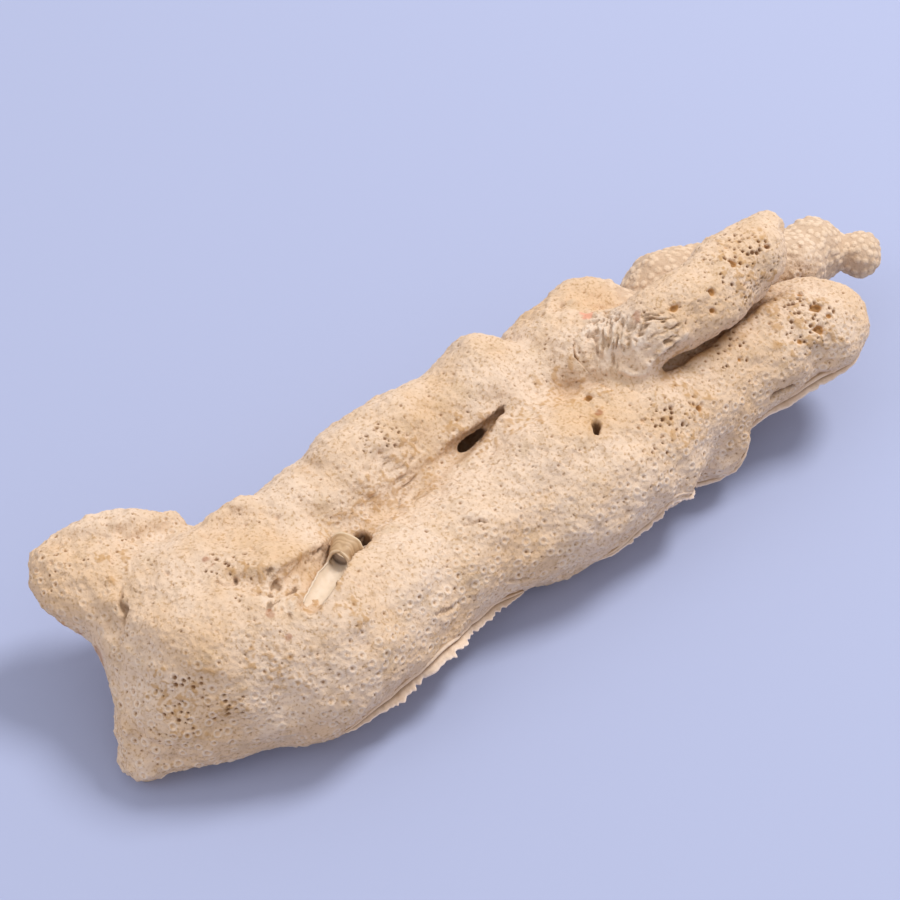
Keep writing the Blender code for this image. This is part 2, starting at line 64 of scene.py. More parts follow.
# Each growth: height over width of its section, width of its blend into its neighbours, and the points
# that its middle line passes through, as (x, y, z, radius).
GROWTHS = {
    "base_trunk": (0.88, 8.0, [(-87, -9, 23, 21), (-76, -16, 24, 26), (-60, -23, 23, 27)]),
    "left_lobe": (0.85, 8.0, [(-82, 1, 28, 17), (-96, 8, 30, 15), (-104, 14, 32, 11), (-109, 21, 35, 7)]),
    "lobe_fin": (0.9, 3.5, [(-76, 17.5, 36.8, 3.3), (-83, 19.5, 38, 4.3), (-93, 22.5, 37.5, 4.8),
                            (-103, 25, 36, 4.8), (-109, 26.5, 34.5, 3.8)]),
    "foot_spur": (1.0, 7.0, [(-90, -17, 20, 17), (-98.5, -21, 19.5, 12), (-104, -22.5, 17, 8.5),
                             (-106.5, -25.5, 9, 6.5)]),
    "foot_ledge": (1.0, 7.0, [(-107.5, -27.5, 7, 4.8), (-98, -29.5, 11, 7.5), (-90, -30, 15, 9)]),
    "front_column": (0.95, 8.0, [(-62, -23, 22, 26), (-42, -24, 21, 22), (-19, -18, 22, 18.5),
                                 (5, -15, 21, 21), (32, -12, 22, 22)]),
    "front_arm": (0.9, 8.0, [(32, -12, 24, 23), (53, -8.5, 26.5, 21.5), (65, -6, 28.5, 18.5),
                             (76, -5, 28.5, 17.5), (96, -2.5, 29.5, 16), (111, -1.5, 31, 15.5),
                             (119.5, -3.5, 31, 14.8)]),
    "front_bulge": (1.0, 5.0, [(70.5, -15, 15, 8), (78.5, -17.5, 17, 7.8)]),
    "rear_column": (1.25, 8.0, [(-74, -3, 25, 14), (-53, 3.5, 24, 14.5), (-25, 9, 24, 17.8),
                                (1, 14, 25, 18), (25, 15, 25, 16.5), (40, 16, 26, 15)]),
    "column_swell": (1.0, 6.0, [(-25, 12, 37, 9), (-9, 15, 37.5, 10)]),
    "column_shoulder": (1.0, 4.0, [(-67, 8, 39, 4), (-60, 8.5, 40, 4.5)]),
    "middle_humps": (1.0, 8.0, [(22, 24, 39, 10), (33, 20, 36, 9.5), (46, 25, 37.2, 10.6),
                                (63, 28, 36, 10.2), (74, 18, 32, 13)]),
    "upper_finger": (1.0, 6.0, [(49, 10, 41, 10.5), (57, 7.5, 45.5, 10.5), (66, 4, 49.5, 10.5),
                                (83, 5, 53, 10.6), (103, 11, 54.5, 10.5), (112, 15.5, 56.5, 6.5)]),
    "broken_lump": (1.0, 4.0, [(53, 2, 45, 6.5), (58, -0.5, 46.5, 7.2)]),
    "under_knob": (1.0, 3.0, [(45, -4, 40.5, 4.5), (47, -6, 41, 4.8)]),
    "rear_arm": (1.0, 5.0, [(62, 23, 24, 9), (80, 26.5, 24.5, 9.5), (92, 33, 28, 10.9),
                            (113, 33, 25, 11.2), (131, 25, 24.5, 10)]),
    "knob_inner": (1.0, 3.0, [(142, 28.5, 24, 8.8), (143, 28.5, 24, 8.8)]),
    "knob_outer": (1.0, 3.0, [(154.5, 22, 22.5, 6.7), (155.5, 22, 22.5, 6.7)]),
}

# Hollows worn or grown into the surface: width of the rounded lip, and points as above.
HOLLOWS = {
    "crevice": (3.0, [(-74, -14, 48, 1.6), (-67, -21.5, 48, 3.2), (-58, -23, 46.5, 4.6),
                      (-49, -19, 43.5, 4.4), (-41, -15, 40, 3.6), (-33, -10.5, 38.8, 2.6),
                      (-16, -5, 39.2, 2.1), (-3, -1, 39.2, 1.9), (8, 2, 38.8, 2.3), (19, 4.5, 40.8, 1.3)]),
    "lobe_crease": (4.0, [(-71, 11.5, 42, 1.6), (-80.7, 13, 42.5, 2.2), (-89, 13, 43.5, 2.8),
                          (-95.5, 6, 45, 2.6), (-100, -3, 43, 2.4), (-105, -8, 37, 1.6)]),
    "burrow_bed": (1.5, [(-38.5, -13.5, 38.8, 4.5), (-42.5, -17, 39.5, 4.6), (-49, -22.5, 41.3, 4.4),
                         (-58.5, -30, 44.9, 3.5)]),
    "finger_undercut": (3.0, [(65, -4.5, 43.5, 1.0), (71, -2.8, 43.2, 2.3), (81, -1, 44, 3), (98, 4, 45, 3),
                              (112, 6, 46, 2.5)]),
}

# Gentle swells over the whole surface: wavelength, height and number of waves in each layer.
SWELLS = ((46.0, 0.7, 10), (22.0, 0.45, 14), (11.0, 0.2, 16))
SWELL_SEED = 3
# How far the phases of the waves spread, in radians.
TURN = 6.28
# Points on a route between two given ones, and how fast a cone's radius may change along it.
ROUTE_PARTS = 3
STEEPEST_CONE = 0.95

# Planes at the main forks, as a point and the normal that points up the branch.
FORKS = {
    "trunk_end": ((-62, 0, 0), (1, -0.1, 0)),
    "lobe_fork": ((-90, 0, 0), (-0.5, 0.87, 0)),
    "foot_fork": ((-99, -23, 0), (-0.71, -0.71, 0)),
    "crevice": ((-17, -7.3, 0), (-0.30, 0.954, 0)),
    "columns_end": ((27, 0, 0), (1, 0, 0)),
    "arms_start": ((62, 0, 0), (1, 0, 0)),
    "arm_split": ((60, 13.5, 0), (0, 1, 0)),
    "finger_floor": ((50, 0, 40.2), (-0.15, 0.6, 1)),
    "finger_back": ((46, 14, 0), (-0.17, 0.985, 0)),
    "finger_end": ((46, 0, 0), (1, 0, 0)),
    "knob_fork": ((138, 27, 0), (0.97, 0.25, 0)),
    "knob_neck": ((150.2, 24.8, 0), (0.9, -0.42, 0)),
}

# Each branch: the side of the forks that it lies on, 1 for past the fork and -1 for before it, and its
# core, the line inside it that its rays start from.
BRANCHES = {
    "base_trunk": ({"trunk_end": -1, "lobe_fork": -1, "foot_fork": -1}, [(-86, -13, 21), (-68, -20, 22)]),
    "left_lobe": ({"trunk_end": -1, "lobe_fork": 1}, [(-71, 13, 23), (-86, 12, 26), (-100, 15, 31),
                                                      (-107, 18, 34)]),
    "foot_spur": ({"lobe_fork": -1, "foot_fork": 1}, [(-101, -25, 14), (-105.5, -26, 11)]),
    "front_column": ({"trunk_end": 1, "columns_end": -1, "crevice": -1},
                     [(-58, -26, 20), (-42, -25, 20), (-19, -20, 20), (5, -16, 20), (24, -14, 20)]),
    "rear_column": ({"trunk_end": 1, "columns_end": -1, "crevice": 1},
                    [(-57, 4, 22), (-25, 10, 22), (1, 14, 22), (24, 15, 22)]),
    "middle_junction": ({"columns_end": 1, "arms_start": -1}, [(31, 13, 18), (45, 14, 24), (58, 18.5, 29)]),
    "front_arm": ({"arms_start": 1, "arm_split": -1},
                  [(66, -9, 22), (76, -7, 25), (96, -2, 28), (117, -2, 30)]),
    "rear_arm": ({"arms_start": 1, "arm_split": 1, "knob_fork": -1},
                 [(66, 23, 26), (83, 29, 26), (113, 31, 24), (131, 26, 23)]),
    "upper_finger": ({"finger_end": 1, "finger_back": -1, "finger_floor": 1},
                     [(55, 7, 46), (66, 4, 49), (83, 5, 53), (103, 11, 54), (110, 14, 54)]),
    "beaded_knob_inner": ({"knob_fork": 1, "knob_neck": -1, "arm_split": 1}, [(142, 27, 23), (146, 27, 24)]),
    "beaded_knob_outer": ({"knob_neck": 1, "arm_split": 1}, [(153.5, 23, 22), (157, 22, 22)]),
}
WORN = ("base_trunk", "left_lobe", "foot_spur", "front_column", "rear_column", "middle_junction",
        "front_arm", "rear_arm", "upper_finger")
BEADED = ("beaded_knob_inner", "beaded_knob_outer")
# The finger's wedge is cut out of the branches that it lies over.
UNDER_FINGER = ("middle_junction", "front_arm", "rear_arm")
# Neighbours reach this far past the fork between them, and dip below each other there.
OVERLAP = 2.0
DIP = 0.5

# Borings that run deep, as routes of (x, y, z, radius).
DEEP_HOLES = [
    [(-35, -14, 40, 2.4), (-33, -11, 34.5, 2.4), (-31, -9.5, 30, 2.0)],
    [(4, 1.5, 38, 1.4), (8.5, 3.2, 37, 1.9), (13, 4, 38.5, 1.0)],
    [(7.5, 3, 38, 1.4), (9, 3.5, 31, 1.2)],
    [(36.4, -16.6, 44.6, 1.3), (38, -13.6, 43.6, 1.5), (39.5, -11, 38, 1.5), (41, -9, 34, 1.2)],
]
# Bored pits, as (x, y in plan, radius of the mouth).
BORED_PITS = [
    (-52, 2.2, 1.3), (-24.2, 11.6, 1.3), (-18.2, 6.5, 1.6), (-15.5, 5.8, 1), (92.9, 3.5, 1.4),
    (81.9, -2, 1.3), (105.1, 5, 1), (80.3, -5.5, 1.1), (69.6, -1.9, 1.4), (114.4, -0.9, 1),
    (116, -7.1, 1.5), (118.1, -10.4, 1), (113.5, -13.1, 1.6), (106.3, -13.7, 1), (86.7, -11.7, 1),
    (68, -20, 1.4), (-81.7, -5.1, 1.1), (-72.8, -13.9, 1.4), (-70.1, -18, 1.5), (-66.3, -26.8, 1.3),
    (-97, -3.3, 1.6), (-103.2, -23.7, 2), (-99, -34.4, 1.1), (-94.5, -38.9, 1.1), (-89.1, 14.9, 1.8),
    (41, -4.7, 1.4),
]
PIT_DEPTH = 3.0
# How far the deep holes are sunk below the surface, past which their routes don't show.
HOLE_DEPTH = 6.5
# Spacing and least distance of the pores, the beads and the smaller pits.
PORE_SPACING = (1.5, 1.15)
BEAD_SPACING = (2.0, 1.72)
PIT_SPACING = (7.0, 4.6)
# Smaller pits stand above this height. The share of places without one, the least radius, and how fast
# the radius grows past that share.
PITS_ABOVE = 22
NO_PIT = 0.86
PIT_RADIUS, PIT_GROWTH = 0.45, 1.1
# The radius of a bead, the width of a cup's ring as a share of its radius, and the radius of the finest
# pore, with how much chance adds to it, and how much more where the surface is riddled.
BEAD_RADIUS = 1.15
RING_WIDTH = 0.33
PORE_RADII = (0.24, 0.12, 0.3)

# Thin crusts along the lower edge of the front side: how far the blade stands out, the length and the
# depth of its teeth, and the points of its route, a little below the edge that the camera sees.
CRUSTS = {
    "edge_crust_near": (2.1, 2.3, 0.8, [
        (-60, -50, 12.5), (-54, -49.5, 13), (-47, -48, 13.8), (-37, -46, 17), (-32, -45, 19.6),
        (-26, -42, 19.8), (-20, -40, 17.4), (-13.5, -37, 14.8), (-6, -35.5, 14), (4, -34, 13)]),
    "edge_crust_middle": (1.0, 1.5, 0.6, [
        (27, -35, 14.6), (34, -35, 14.8), (46, -33, 19), (51, -32, 23.5), (57, -31, 22.5), (65, -26, 15.5),
        (70, -21.5, 8.5), (79, -24.5, 12.6), (84, -21, 19.5)]),
    "edge_crust_far": (1.5, 5.0, 0.3, [
        (84, -21, 20), (92, -18.5, 21), (102, -16.5, 21.5), (108, -17.5, 25), (115, -17.5, 26.4),
        (121, -18, 28), (127, -17, 30)]),
}

# The tube of an old burrow: its route, its wall, and where its roof has broken away.
LINING_ROUTE = [(-39.5, -14.5, 38.8, 3.9), (-42.5, -17, 39.5, 3.9), (-48.9, -22.5, 41.3, 3.8),
                (-57.8, -29.6, 44.6, 3.0)]
LINING_WALL = 0.8


def smooth_route(rows):
    """Points on a Catmull-Rom curve through the rows, so course and radius change gently."""
    if len(rows) < 3:
        return np.array(rows, float)
    q = np.array(rows, float)
    q = np.vstack([2 * q[0] - q[1], q, 2 * q[-1] - q[-2]])
    out = []
    for before, here, after, later in zip(q, q[1:], q[2:], q[3:]):
        for t in np.arange(ROUTE_PARTS) / ROUTE_PARTS:
            square = (2 * before - 5 * here + 4 * after - later) * t * t
            cube = (3 * here - before - 3 * after + later) * t ** 3
            out.append(0.5 * (2 * here + (after - before) * t + square + cube))
    out.append(q[-2])
    return np.array(out)


# A distance past any in the model.
FAR_OFF = 1e4


class Chain:
    """A chain of round-ended cones along a route, in space squeezed by its height over its width."""

    def __init__(self, rows, height=1.0):
        route = smooth_route(rows)
        self.height = height
        self.low = (route[:, :3] - route[:, 3:]).min(0)
        self.high = (route[:, :3] + route[:, 3:]).max(0)
        squeezed = route * (1.0, 1.0, 1.0 / height, 1.0)
        self.cones = []
        for start, end in zip(squeezed, squeezed[1:]):
            length = np.linalg.norm(end[:3] - start[:3])
            slope = np.clip((end[3] - start[3]) / length, -STEEPEST_CONE, STEEPEST_CONE)
            axis = (end[:3] - start[:3]) / length
            lean = slope / math.sqrt(1 - slope * slope)
            self.cones.append([np.float32(value) for value in (*start, *axis, length, slope, lean)])

    def far_from(self, p, reach):
        """Whether no point of p is as near as reach."""
        return bool((np.maximum(self.low - p.max(0), p.min(0) - self.high) > reach).any())

    def distance(self, p):
        """Distance to the nearest cone: to its axis, at the slanted side's foot, less its radius there."""
        x, y, z = p[:, 0], p[:, 1], p[:, 2] / np.float32(self.height)
        nearest = np.full(len(p), FAR_OFF, np.float32)
        for x0, y0, z0, radius, axis_x, axis_y, axis_z, length, slope, lean in self.cones:
            wx, wy, wz = x - x0, y - y0, z - z0
            along = wx * axis_x + wy * axis_y + wz * axis_z
            across = np.maximum(wx * wx + wy * wy + wz * wz - along * along, 0)
            foot = np.clip(along + np.sqrt(across) * lean, 0, length)
            gap = np.sqrt(across + (foot - along) ** 2) - (radius + slope * foot)
            nearest = np.minimum(nearest, gap)
        return nearest


FORM = [(blend, Chain(rows, height)) for height, blend, rows in GROWTHS.values()]
CUTS = [(lip, Chain(rows)) for lip, rows in HOLLOWS.values()]
# A chain further off than this changes nothing.
UNTOUCHED = 14.0
# Half the length that the field's slope is measured over.
SLOPE_REACH = 0.3


def blend_min(a, b, width):
    """The smaller of two distances, rounded over where they meet."""
    h = np.clip(0.5 + 0.5 * (b - a) / width, 0, 1)
    return b + (a - b) * h - width * h * (1 - h)


def make_swells():
    """Seeded sine waves of random heading, as (turns, phase, height) for each layer."""
    rng = np.random.default_rng(SWELL_SEED)
    layers = []
    for wavelength, height, count in SWELLS:
        heading = rng.normal(size=(count, 3))
        heading /= np.linalg.norm(heading, axis=1)[:, None]
        turns = heading * (2 * math.pi / wavelength) * rng.uniform(0.8, 1.25, (count, 1))
        phase = rng.uniform(0, TURN, count)
        layers.append((turns.astype(np.float32), phase.astype(np.float32), height * math.sqrt(2.0 / count)))
    return layers


SWELL_LAYERS = make_swells()


def coral_field(p):
    """Distance to the coral's smooth surface, negative inside: blended growths, less swells, less hollows.
    A chain too far off to touch any point is left out."""
    out = np.full(len(p), FAR_OFF, np.float32)
    for blend, chain in FORM:
        if not chain.far_from(p, UNTOUCHED):
            out = blend_min(out, chain.distance(p), np.float32(blend))
    for turns, phase, height in SWELL_LAYERS:
        out = out - np.sin(p @ turns.T + phase).sum(1) * np.float32(height)
    for lip, chain in CUTS:
        if not chain.far_from(p, UNTOUCHED):
            out = -blend_min(-out, chain.distance(p), np.float32(lip))
    return out


def field_normals(p):
    """Unit direction in which the field grows fastest."""
    steps = SLOPE_REACH * np.eye(3, dtype=np.float32)
    slope = np.stack([coral_field(p + step) - coral_field(p - step) for step in steps], 1)
    return slope / (np.linalg.norm(slope, axis=1)[:, None] + 1e-9)


def fork_sides(branch):
    """For each fork that bounds the branch, (point, unit normal pointing into the branch)."""
    sides = []
    for fork, side in BRANCHES[branch][0].items():
        point, normal = (np.array(x, np.float32) for x in FORKS[fork])
        sides.append((point, side * normal / np.linalg.norm(normal)))
    return sides


def past_forks(branch, p):
    """How far p lies past the branch's forks, negative inside the branch."""
    out = np.full(len(p), -FAR_OFF, np.float32)
    for point, inward in fork_sides(branch):
        out = np.maximum(out, -((p - point) @ inward))
    if branch in UNDER_FINGER:
        wedge = np.full(len(p), FAR_OFF, np.float32)
        for point, inward in fork_sides("upper_finger"):
            wedge = np.minimum(wedge, (p - point) @ inward)
        out = np.maximum(out, wedge)
    return out


def lattice_noise(p, size, seed):
    """Smooth noise from -1 to 1: random values at the corners of cubes of that size, eased between."""
    q = p / np.float32(size)
    cell = np.floor(q).astype(np.int64)
    part = (q - cell).astype(np.float32)
    part = part * part * (3 - 2 * part)
    out = np.zeros(len(p), np.float32)
    for corner in np.ndindex(2, 2, 2):
        at = cell + corner
        h = (at[:, 0] * 73856093) ^ (at[:, 1] * 19349663) ^ (at[:, 2] * 83492791) ^ (seed * 2654435761)
        h = ((h & 0xFFFFFFFF) * 668265261) & 0xFFFFFFFF
        h = ((h ^ (h >> 15)) * 2246822519) & 0xFFFFFFFF
        value = ((h ^ (h >> 13)) & 0xFFFF).astype(np.float32) / 32767.5 - 1
        weight = np.ones(len(p), np.float32)
        for axis, side in enumerate(corner):
            weight = weight * (part[:, axis] if side else 1 - part[:, axis])
        out = out + value * weight
    return out


def ease(x, low, high):
    """0 below low, 1 above high and an S-curve between. With low above high it falls instead."""
    t = np.clip((x - low) / (high - low), 0, 1)
    return t * t * (3 - 2 * t)


# The boxes that all growths and the beaded ones lie in, in the growth frame.
GROWTH_BOX = ((-120, -56, 1), (168, 50, 68))
BEADED_BOX = ((50, 8, 1), (168, 50, 50))
# Scattered points are moved onto the surface, and kept where they end this near to it and this far above
# the flat underside.
SETTLE_STEPS = 4
ON_SURFACE = 0.1
ABOVE_FLOOR = 0.6


class Scatter:
    """Points spread over the coral's surface, no two nearer than a least distance, found again by cell.

    A cell's side is the least distance over the root of 3, so it holds one point at most."""

    def __init__(self, spacing, least, seed, box=GROWTH_BOX):
        rng = np.random.default_rng(seed)
        low, high = np.array(box, float)
        count = np.ceil((high - low) / spacing).astype(int)
        at = np.stack(np.meshgrid(*[np.arange(n) for n in count], indexing="ij"), -1).reshape(-1, 3)
        p = (low + (at + rng.uniform(0.0, 1.0, at.shape)) * spacing).astype(np.float32)
        p = p[np.abs(coral_field(p)) < spacing * 0.6]
        for _ in range(SETTLE_STEPS):
            p = p - field_normals(p) * coral_field(p)[:, None]
        p = p[(np.abs(coral_field(p)) < ON_SURFACE) & (p[:, 2] > ORIGIN[2] + ABOVE_FLOOR)]
        p = p[rng.permutation(len(p))]
        tree = kdtree.KDTree(len(p))
        for i, place in enumerate(p):
            tree.insert(place, i)
        tree.balance()
        kept = np.ones(len(p), bool)
        for i, place in enumerate(p):
            if kept[i]:
                near = [j for _, j, _ in tree.find_range(place, least) if j > i]
                kept[near] = False
        self.points = p[kept]
        self.size = rng.uniform(0.0, 1.0, len(self.points)).astype(np.float32)
        self.cell = least / math.sqrt(3)
        self.low = low - 2 * self.cell
        self.shape = np.ceil((high + 2 * self.cell - self.low) / self.cell).astype(int) + 1
        self.table = np.full(self.shape, -1, np.int32)
        self.table[tuple(self.cells(self.points).T)] = np.arange(len(self.points))

    def cells(self, p):
        """The cell that each point of p lies in."""
        return np.clip(((p - self.low) / self.cell).astype(int), 1, self.shape - 2)

    def nearest(self, p):
        """(distance to the nearest point within about a cell, its index) for each point of p."""
        home = self.cells(p)
        best = np.full(len(p), FAR_OFF, np.float32)
        which = np.zeros(len(p), np.int32)
        for step in np.ndindex(3, 3, 3):
            at = home + np.array(step) - 1
            found = self.table[at[:, 0], at[:, 1], at[:, 2]]
            gap = p - self.points[found]
            squared = np.where(found >= 0, (gap * gap).sum(1), FAR_OFF)
            nearer = squared < best
            best = np.where(nearer, squared, best)
            which = np.where(nearer, found, which)
        return np.sqrt(best), which


# Where points start above the coral, how often they step down, and by what share of the distance left.
SKY = 75.0
SINK_STEPS = 90
SINK_SHARE = 0.8


def surface_below(x, y):
    """Points on the top of the smooth surface at places in plan, by stepping down the field."""
    p = np.stack([x, y, np.full(len(x), SKY)], 1).astype(np.float32)
    for _ in range(SINK_STEPS):
        p[:, 2] -= np.maximum(coral_field(p), 0.0) * SINK_SHARE
    return p


def cubic_weights(count, parts, wrap):
    """Matrix that takes count values to count * parts, or (count - 1) * parts + 1 without wrap, on a
    Catmull-Rom curve."""
    fine = count * parts if wrap else (count - 1) * parts + 1
    at = np.arange(fine) / parts
    base = np.minimum(np.floor(at).astype(int), count - (1 if wrap else 2))
    t = at - base
    weights = np.stack([-t + 2 * t ** 2 - t ** 3, 2 - 5 * t ** 2 + 3 * t ** 3,
                        t + 4 * t ** 2 - 3 * t ** 3, -t ** 2 + t ** 3], 1) / 2
    out = np.zeros((fine, count), np.float32)
    for k in range(4):
        column = base + k - 1
        column = column % count if wrap else np.clip(column, 0, count - 1)
        np.add.at(out, (np.arange(fine), column), weights[:, k].astype(np.float32))
    return out


class CoreRays:
    """Rays that start on a core. Level 0 to 1 tilts from the start's pole to square, 1 to 2 runs along
    the core square to its chord, and 2 to 3 tilts on to the end's pole. The turn goes round the chord."""

    def __init__(self, core):
        self.core = np.array(core, float)
        self.axis = self.core[-1] - self.core[0]
        self.axis /= np.linalg.norm(self.axis)
        self.side = np.cross(self.axis, (0, 0, 1))
        self.side /= np.linalg.norm(self.side)
        self.up = np.cross(self.side, self.axis)
        steps = np.linalg.norm(np.diff(self.core, axis=0), axis=1)
        self.places = np.concatenate([[0], np.cumsum(steps)]) / steps.sum()

    def at(self, levels, turns):
        """(origins, directions) for every level and turn, each of shape (levels, turns, 3)."""
        along = np.clip(levels - 1, 0, 1)
        tilt = (np.clip(levels, 0, 1) - 1 + np.clip(levels - 2, 0, 1)) * math.pi / 2
        start = np.stack([np.interp(along, self.places, self.core[:, k]) for k in range(3)], 1)
        square = np.cos(turns)[:, None] * self.side + np.sin(turns)[:, None] * self.up
        direction = np.cos(tilt)[:, None, None] * square + np.sin(tilt)[:, None, None] * self.axis
        origin = np.broadcast_to(start[:, None], direction.shape)
        return origin.astype(np.float32), direction.astype(np.float32)


def outside_branch(branch, p):
    """Distance outside the branch: of its surface, its forks with the overlap, and the flat underside."""
    out = np.maximum(coral_field(p), past_forks(branch, p) - np.float32(OVERLAP))
    return np.maximum(out, np.float32(ORIGIN[2]) - p[:, 2])


# A ray steps this often at most, by this share of the distance left, until it is this near to the surface.
RAY_STEPS = 60
RAY_SHARE = 0.85
RAY_CLOSE = 0.02


def first_exit(branch, origin, direction, start=0.0):
    """How far each ray runs inside the branch. It steps from its start by most of the distance left."""
    o, d = origin.reshape(-1, 3), direction.reshape(-1, 3)
    t = np.broadcast_to(np.float32(start), origin.shape[:2]).ravel().copy()
    live = np.arange(len(o))
    for _ in range(RAY_STEPS):
        gap = outside_branch(branch, o[live] + t[live, None] * d[live])
        t[live] = np.maximum(t[live] - gap * np.float32(RAY_SHARE), 0)
        live = live[np.abs(gap) > RAY_CLOSE]
        if not len(live):
            break
    return t.reshape(origin.shape[:2])


def least_around(values):
    """For each value of a grid that wraps across, the least of it and its eight neighbours."""
    tall = np.pad(values, ((1, 1), (0, 0)), mode="edge")
    low = np.minimum(np.minimum(tall[:-2], tall[1:-1]), tall[2:])
    return np.minimum(np.minimum(np.roll(low, 1, 1), low), np.roll(low, -1, 1))


def even_levels(values, weights, count):
    """count levels that share out the weighted length between the given ones."""
    total = np.concatenate([[0], np.cumsum(weights)])
    return np.interp(np.linspace(0, total[-1], count), total, values)


# How closely the grid covers what no one sees, against what shows, and how far past a fork or above the
# underside that starts.
UNSEEN_FORK = 0.12
UNSEEN_FLOOR = 0.4
FORK_HIDES = 1.4
FLOOR_HIDES = 0.15
# Levels of the measuring grid over the start's pole, the core and the end's pole, and its turns.
MEASURED_LEVELS = (25, 33, 25)
MEASURED_TURNS = 97
# The share of a level's or a turn's steps that are shorter than the one that it is measured by, and the
# least weight.
LONG_STEP = 0.85
LEAST_WEIGHT = 0.02
COARSE_PARTS = 3
MOST_QUADS = 92000
# How far before the coarse grid's depth a fine ray starts.
HEAD_START = 0.4
# How far out the field is read to tell hollows from ridges, for the painted shade that darkens the hollows.
SHADE_REACHES = (2.5, 6.0)


def branch_grid(branch, spacing):
    """The branch's smooth closed surface on a fine grid, as points, normals, shade and depth in the form.

    A first grid of rays measures the surface, and levels and turns are then spaced so that what shows has
    even steps. A coarse grid is marched and a cubic curve fills it in."""
    rays = CoreRays(BRANCHES[branch][1])
    levels = np.unique(np.concatenate([np.linspace(k, k + 1, n) for k, n in enumerate(MEASURED_LEVELS)]))
    turns = np.linspace(0, 2 * math.pi, MEASURED_TURNS)
    for _ in range(2):
        o, d = rays.at(levels, turns)
        t = first_exit(branch, o, d)
        p = o + t[..., None] * d
        flat = p.reshape(-1, 3)
        shown = 1 - (1 - UNSEEN_FORK) * (past_forks(branch, flat) > FORK_HIDES)
        shown = np.minimum(shown, 1 - (1 - UNSEEN_FLOOR) * (flat[:, 2] < ORIGIN[2] + FLOOR_HIDES))
        shown = shown.reshape(p.shape[:2])
        down = np.linalg.norm(np.diff(p, axis=0), axis=2) * (shown[1:] + shown[:-1]) / 2
        round_ = np.linalg.norm(np.diff(p, axis=1), axis=2) * (shown[:, 1:] + shown[:, :-1]) / 2
        rows_weight = np.quantile(down, LONG_STEP, axis=1) + LEAST_WEIGHT
        turns_weight = np.quantile(round_, LONG_STEP, axis=0) + LEAST_WEIGHT
        levels = even_levels(levels, rows_weight, len(levels))
        turns = even_levels(turns, turns_weight, len(turns))
    tall, wide = rows_weight.sum(), turns_weight.sum()
    spacing = max(spacing, math.sqrt(tall * wide / MOST_QUADS))
    rows = int(tall / spacing / COARSE_PARTS) + 2
    columns = int(wide / spacing / COARSE_PARTS)
    levels = np.interp(np.linspace(0, 1, rows), np.linspace(0, 1, len(levels)), levels)
    turns = np.interp(np.arange(columns) / columns, np.linspace(0, 1, len(turns)), turns)
    o, d = rays.at(levels, turns)
    t = first_exit(branch, o, d)
    p = (o + t[..., None] * d).reshape(-1, 3)
    normal = field_normals(p)
    down, over = cubic_weights(rows, COARSE_PARTS, False), cubic_weights(columns, COARSE_PARTS, True)

    def filled(values):
        return down @ values.reshape(rows, columns) @ over.T
    even = 2 * math.pi * np.arange(columns) / columns
    fine_turns = over @ (turns - even) + 2 * math.pi * np.arange(len(over)) / len(over)
    o, d = rays.at(down @ levels, fine_turns)
    beside = COARSE_PARTS // 2
    start = np.repeat(np.repeat(least_around(t), COARSE_PARTS, 0)[beside:beside + len(o)], COARSE_PARTS, 1)
    start = np.minimum(np.roll(start, -beside, 1), filled(t)) - np.float32(HEAD_START)
    t = first_exit(branch, o, d, np.maximum(start, 0))
    points = o + t[..., None] * d
    normals = np.stack([filled(normal[:, k]) for k in range(3)], -1)
    normals /= np.linalg.norm(normals, axis=2)[..., None] + 1e-9
    depth, near, far = (coral_field((points + normals * reach).reshape(-1, 3)).reshape(t.shape)
                        for reach in np.float32((0, *SHADE_REACHES)))
    return points, normals, 1 - near / (2 * SHADE_REACHES[0]) - far / (2 * SHADE_REACHES[1]), depth


# How much of the bake's map the strips across a folded grid's ends take, twice over.
SEAM_SHARE = 0.004


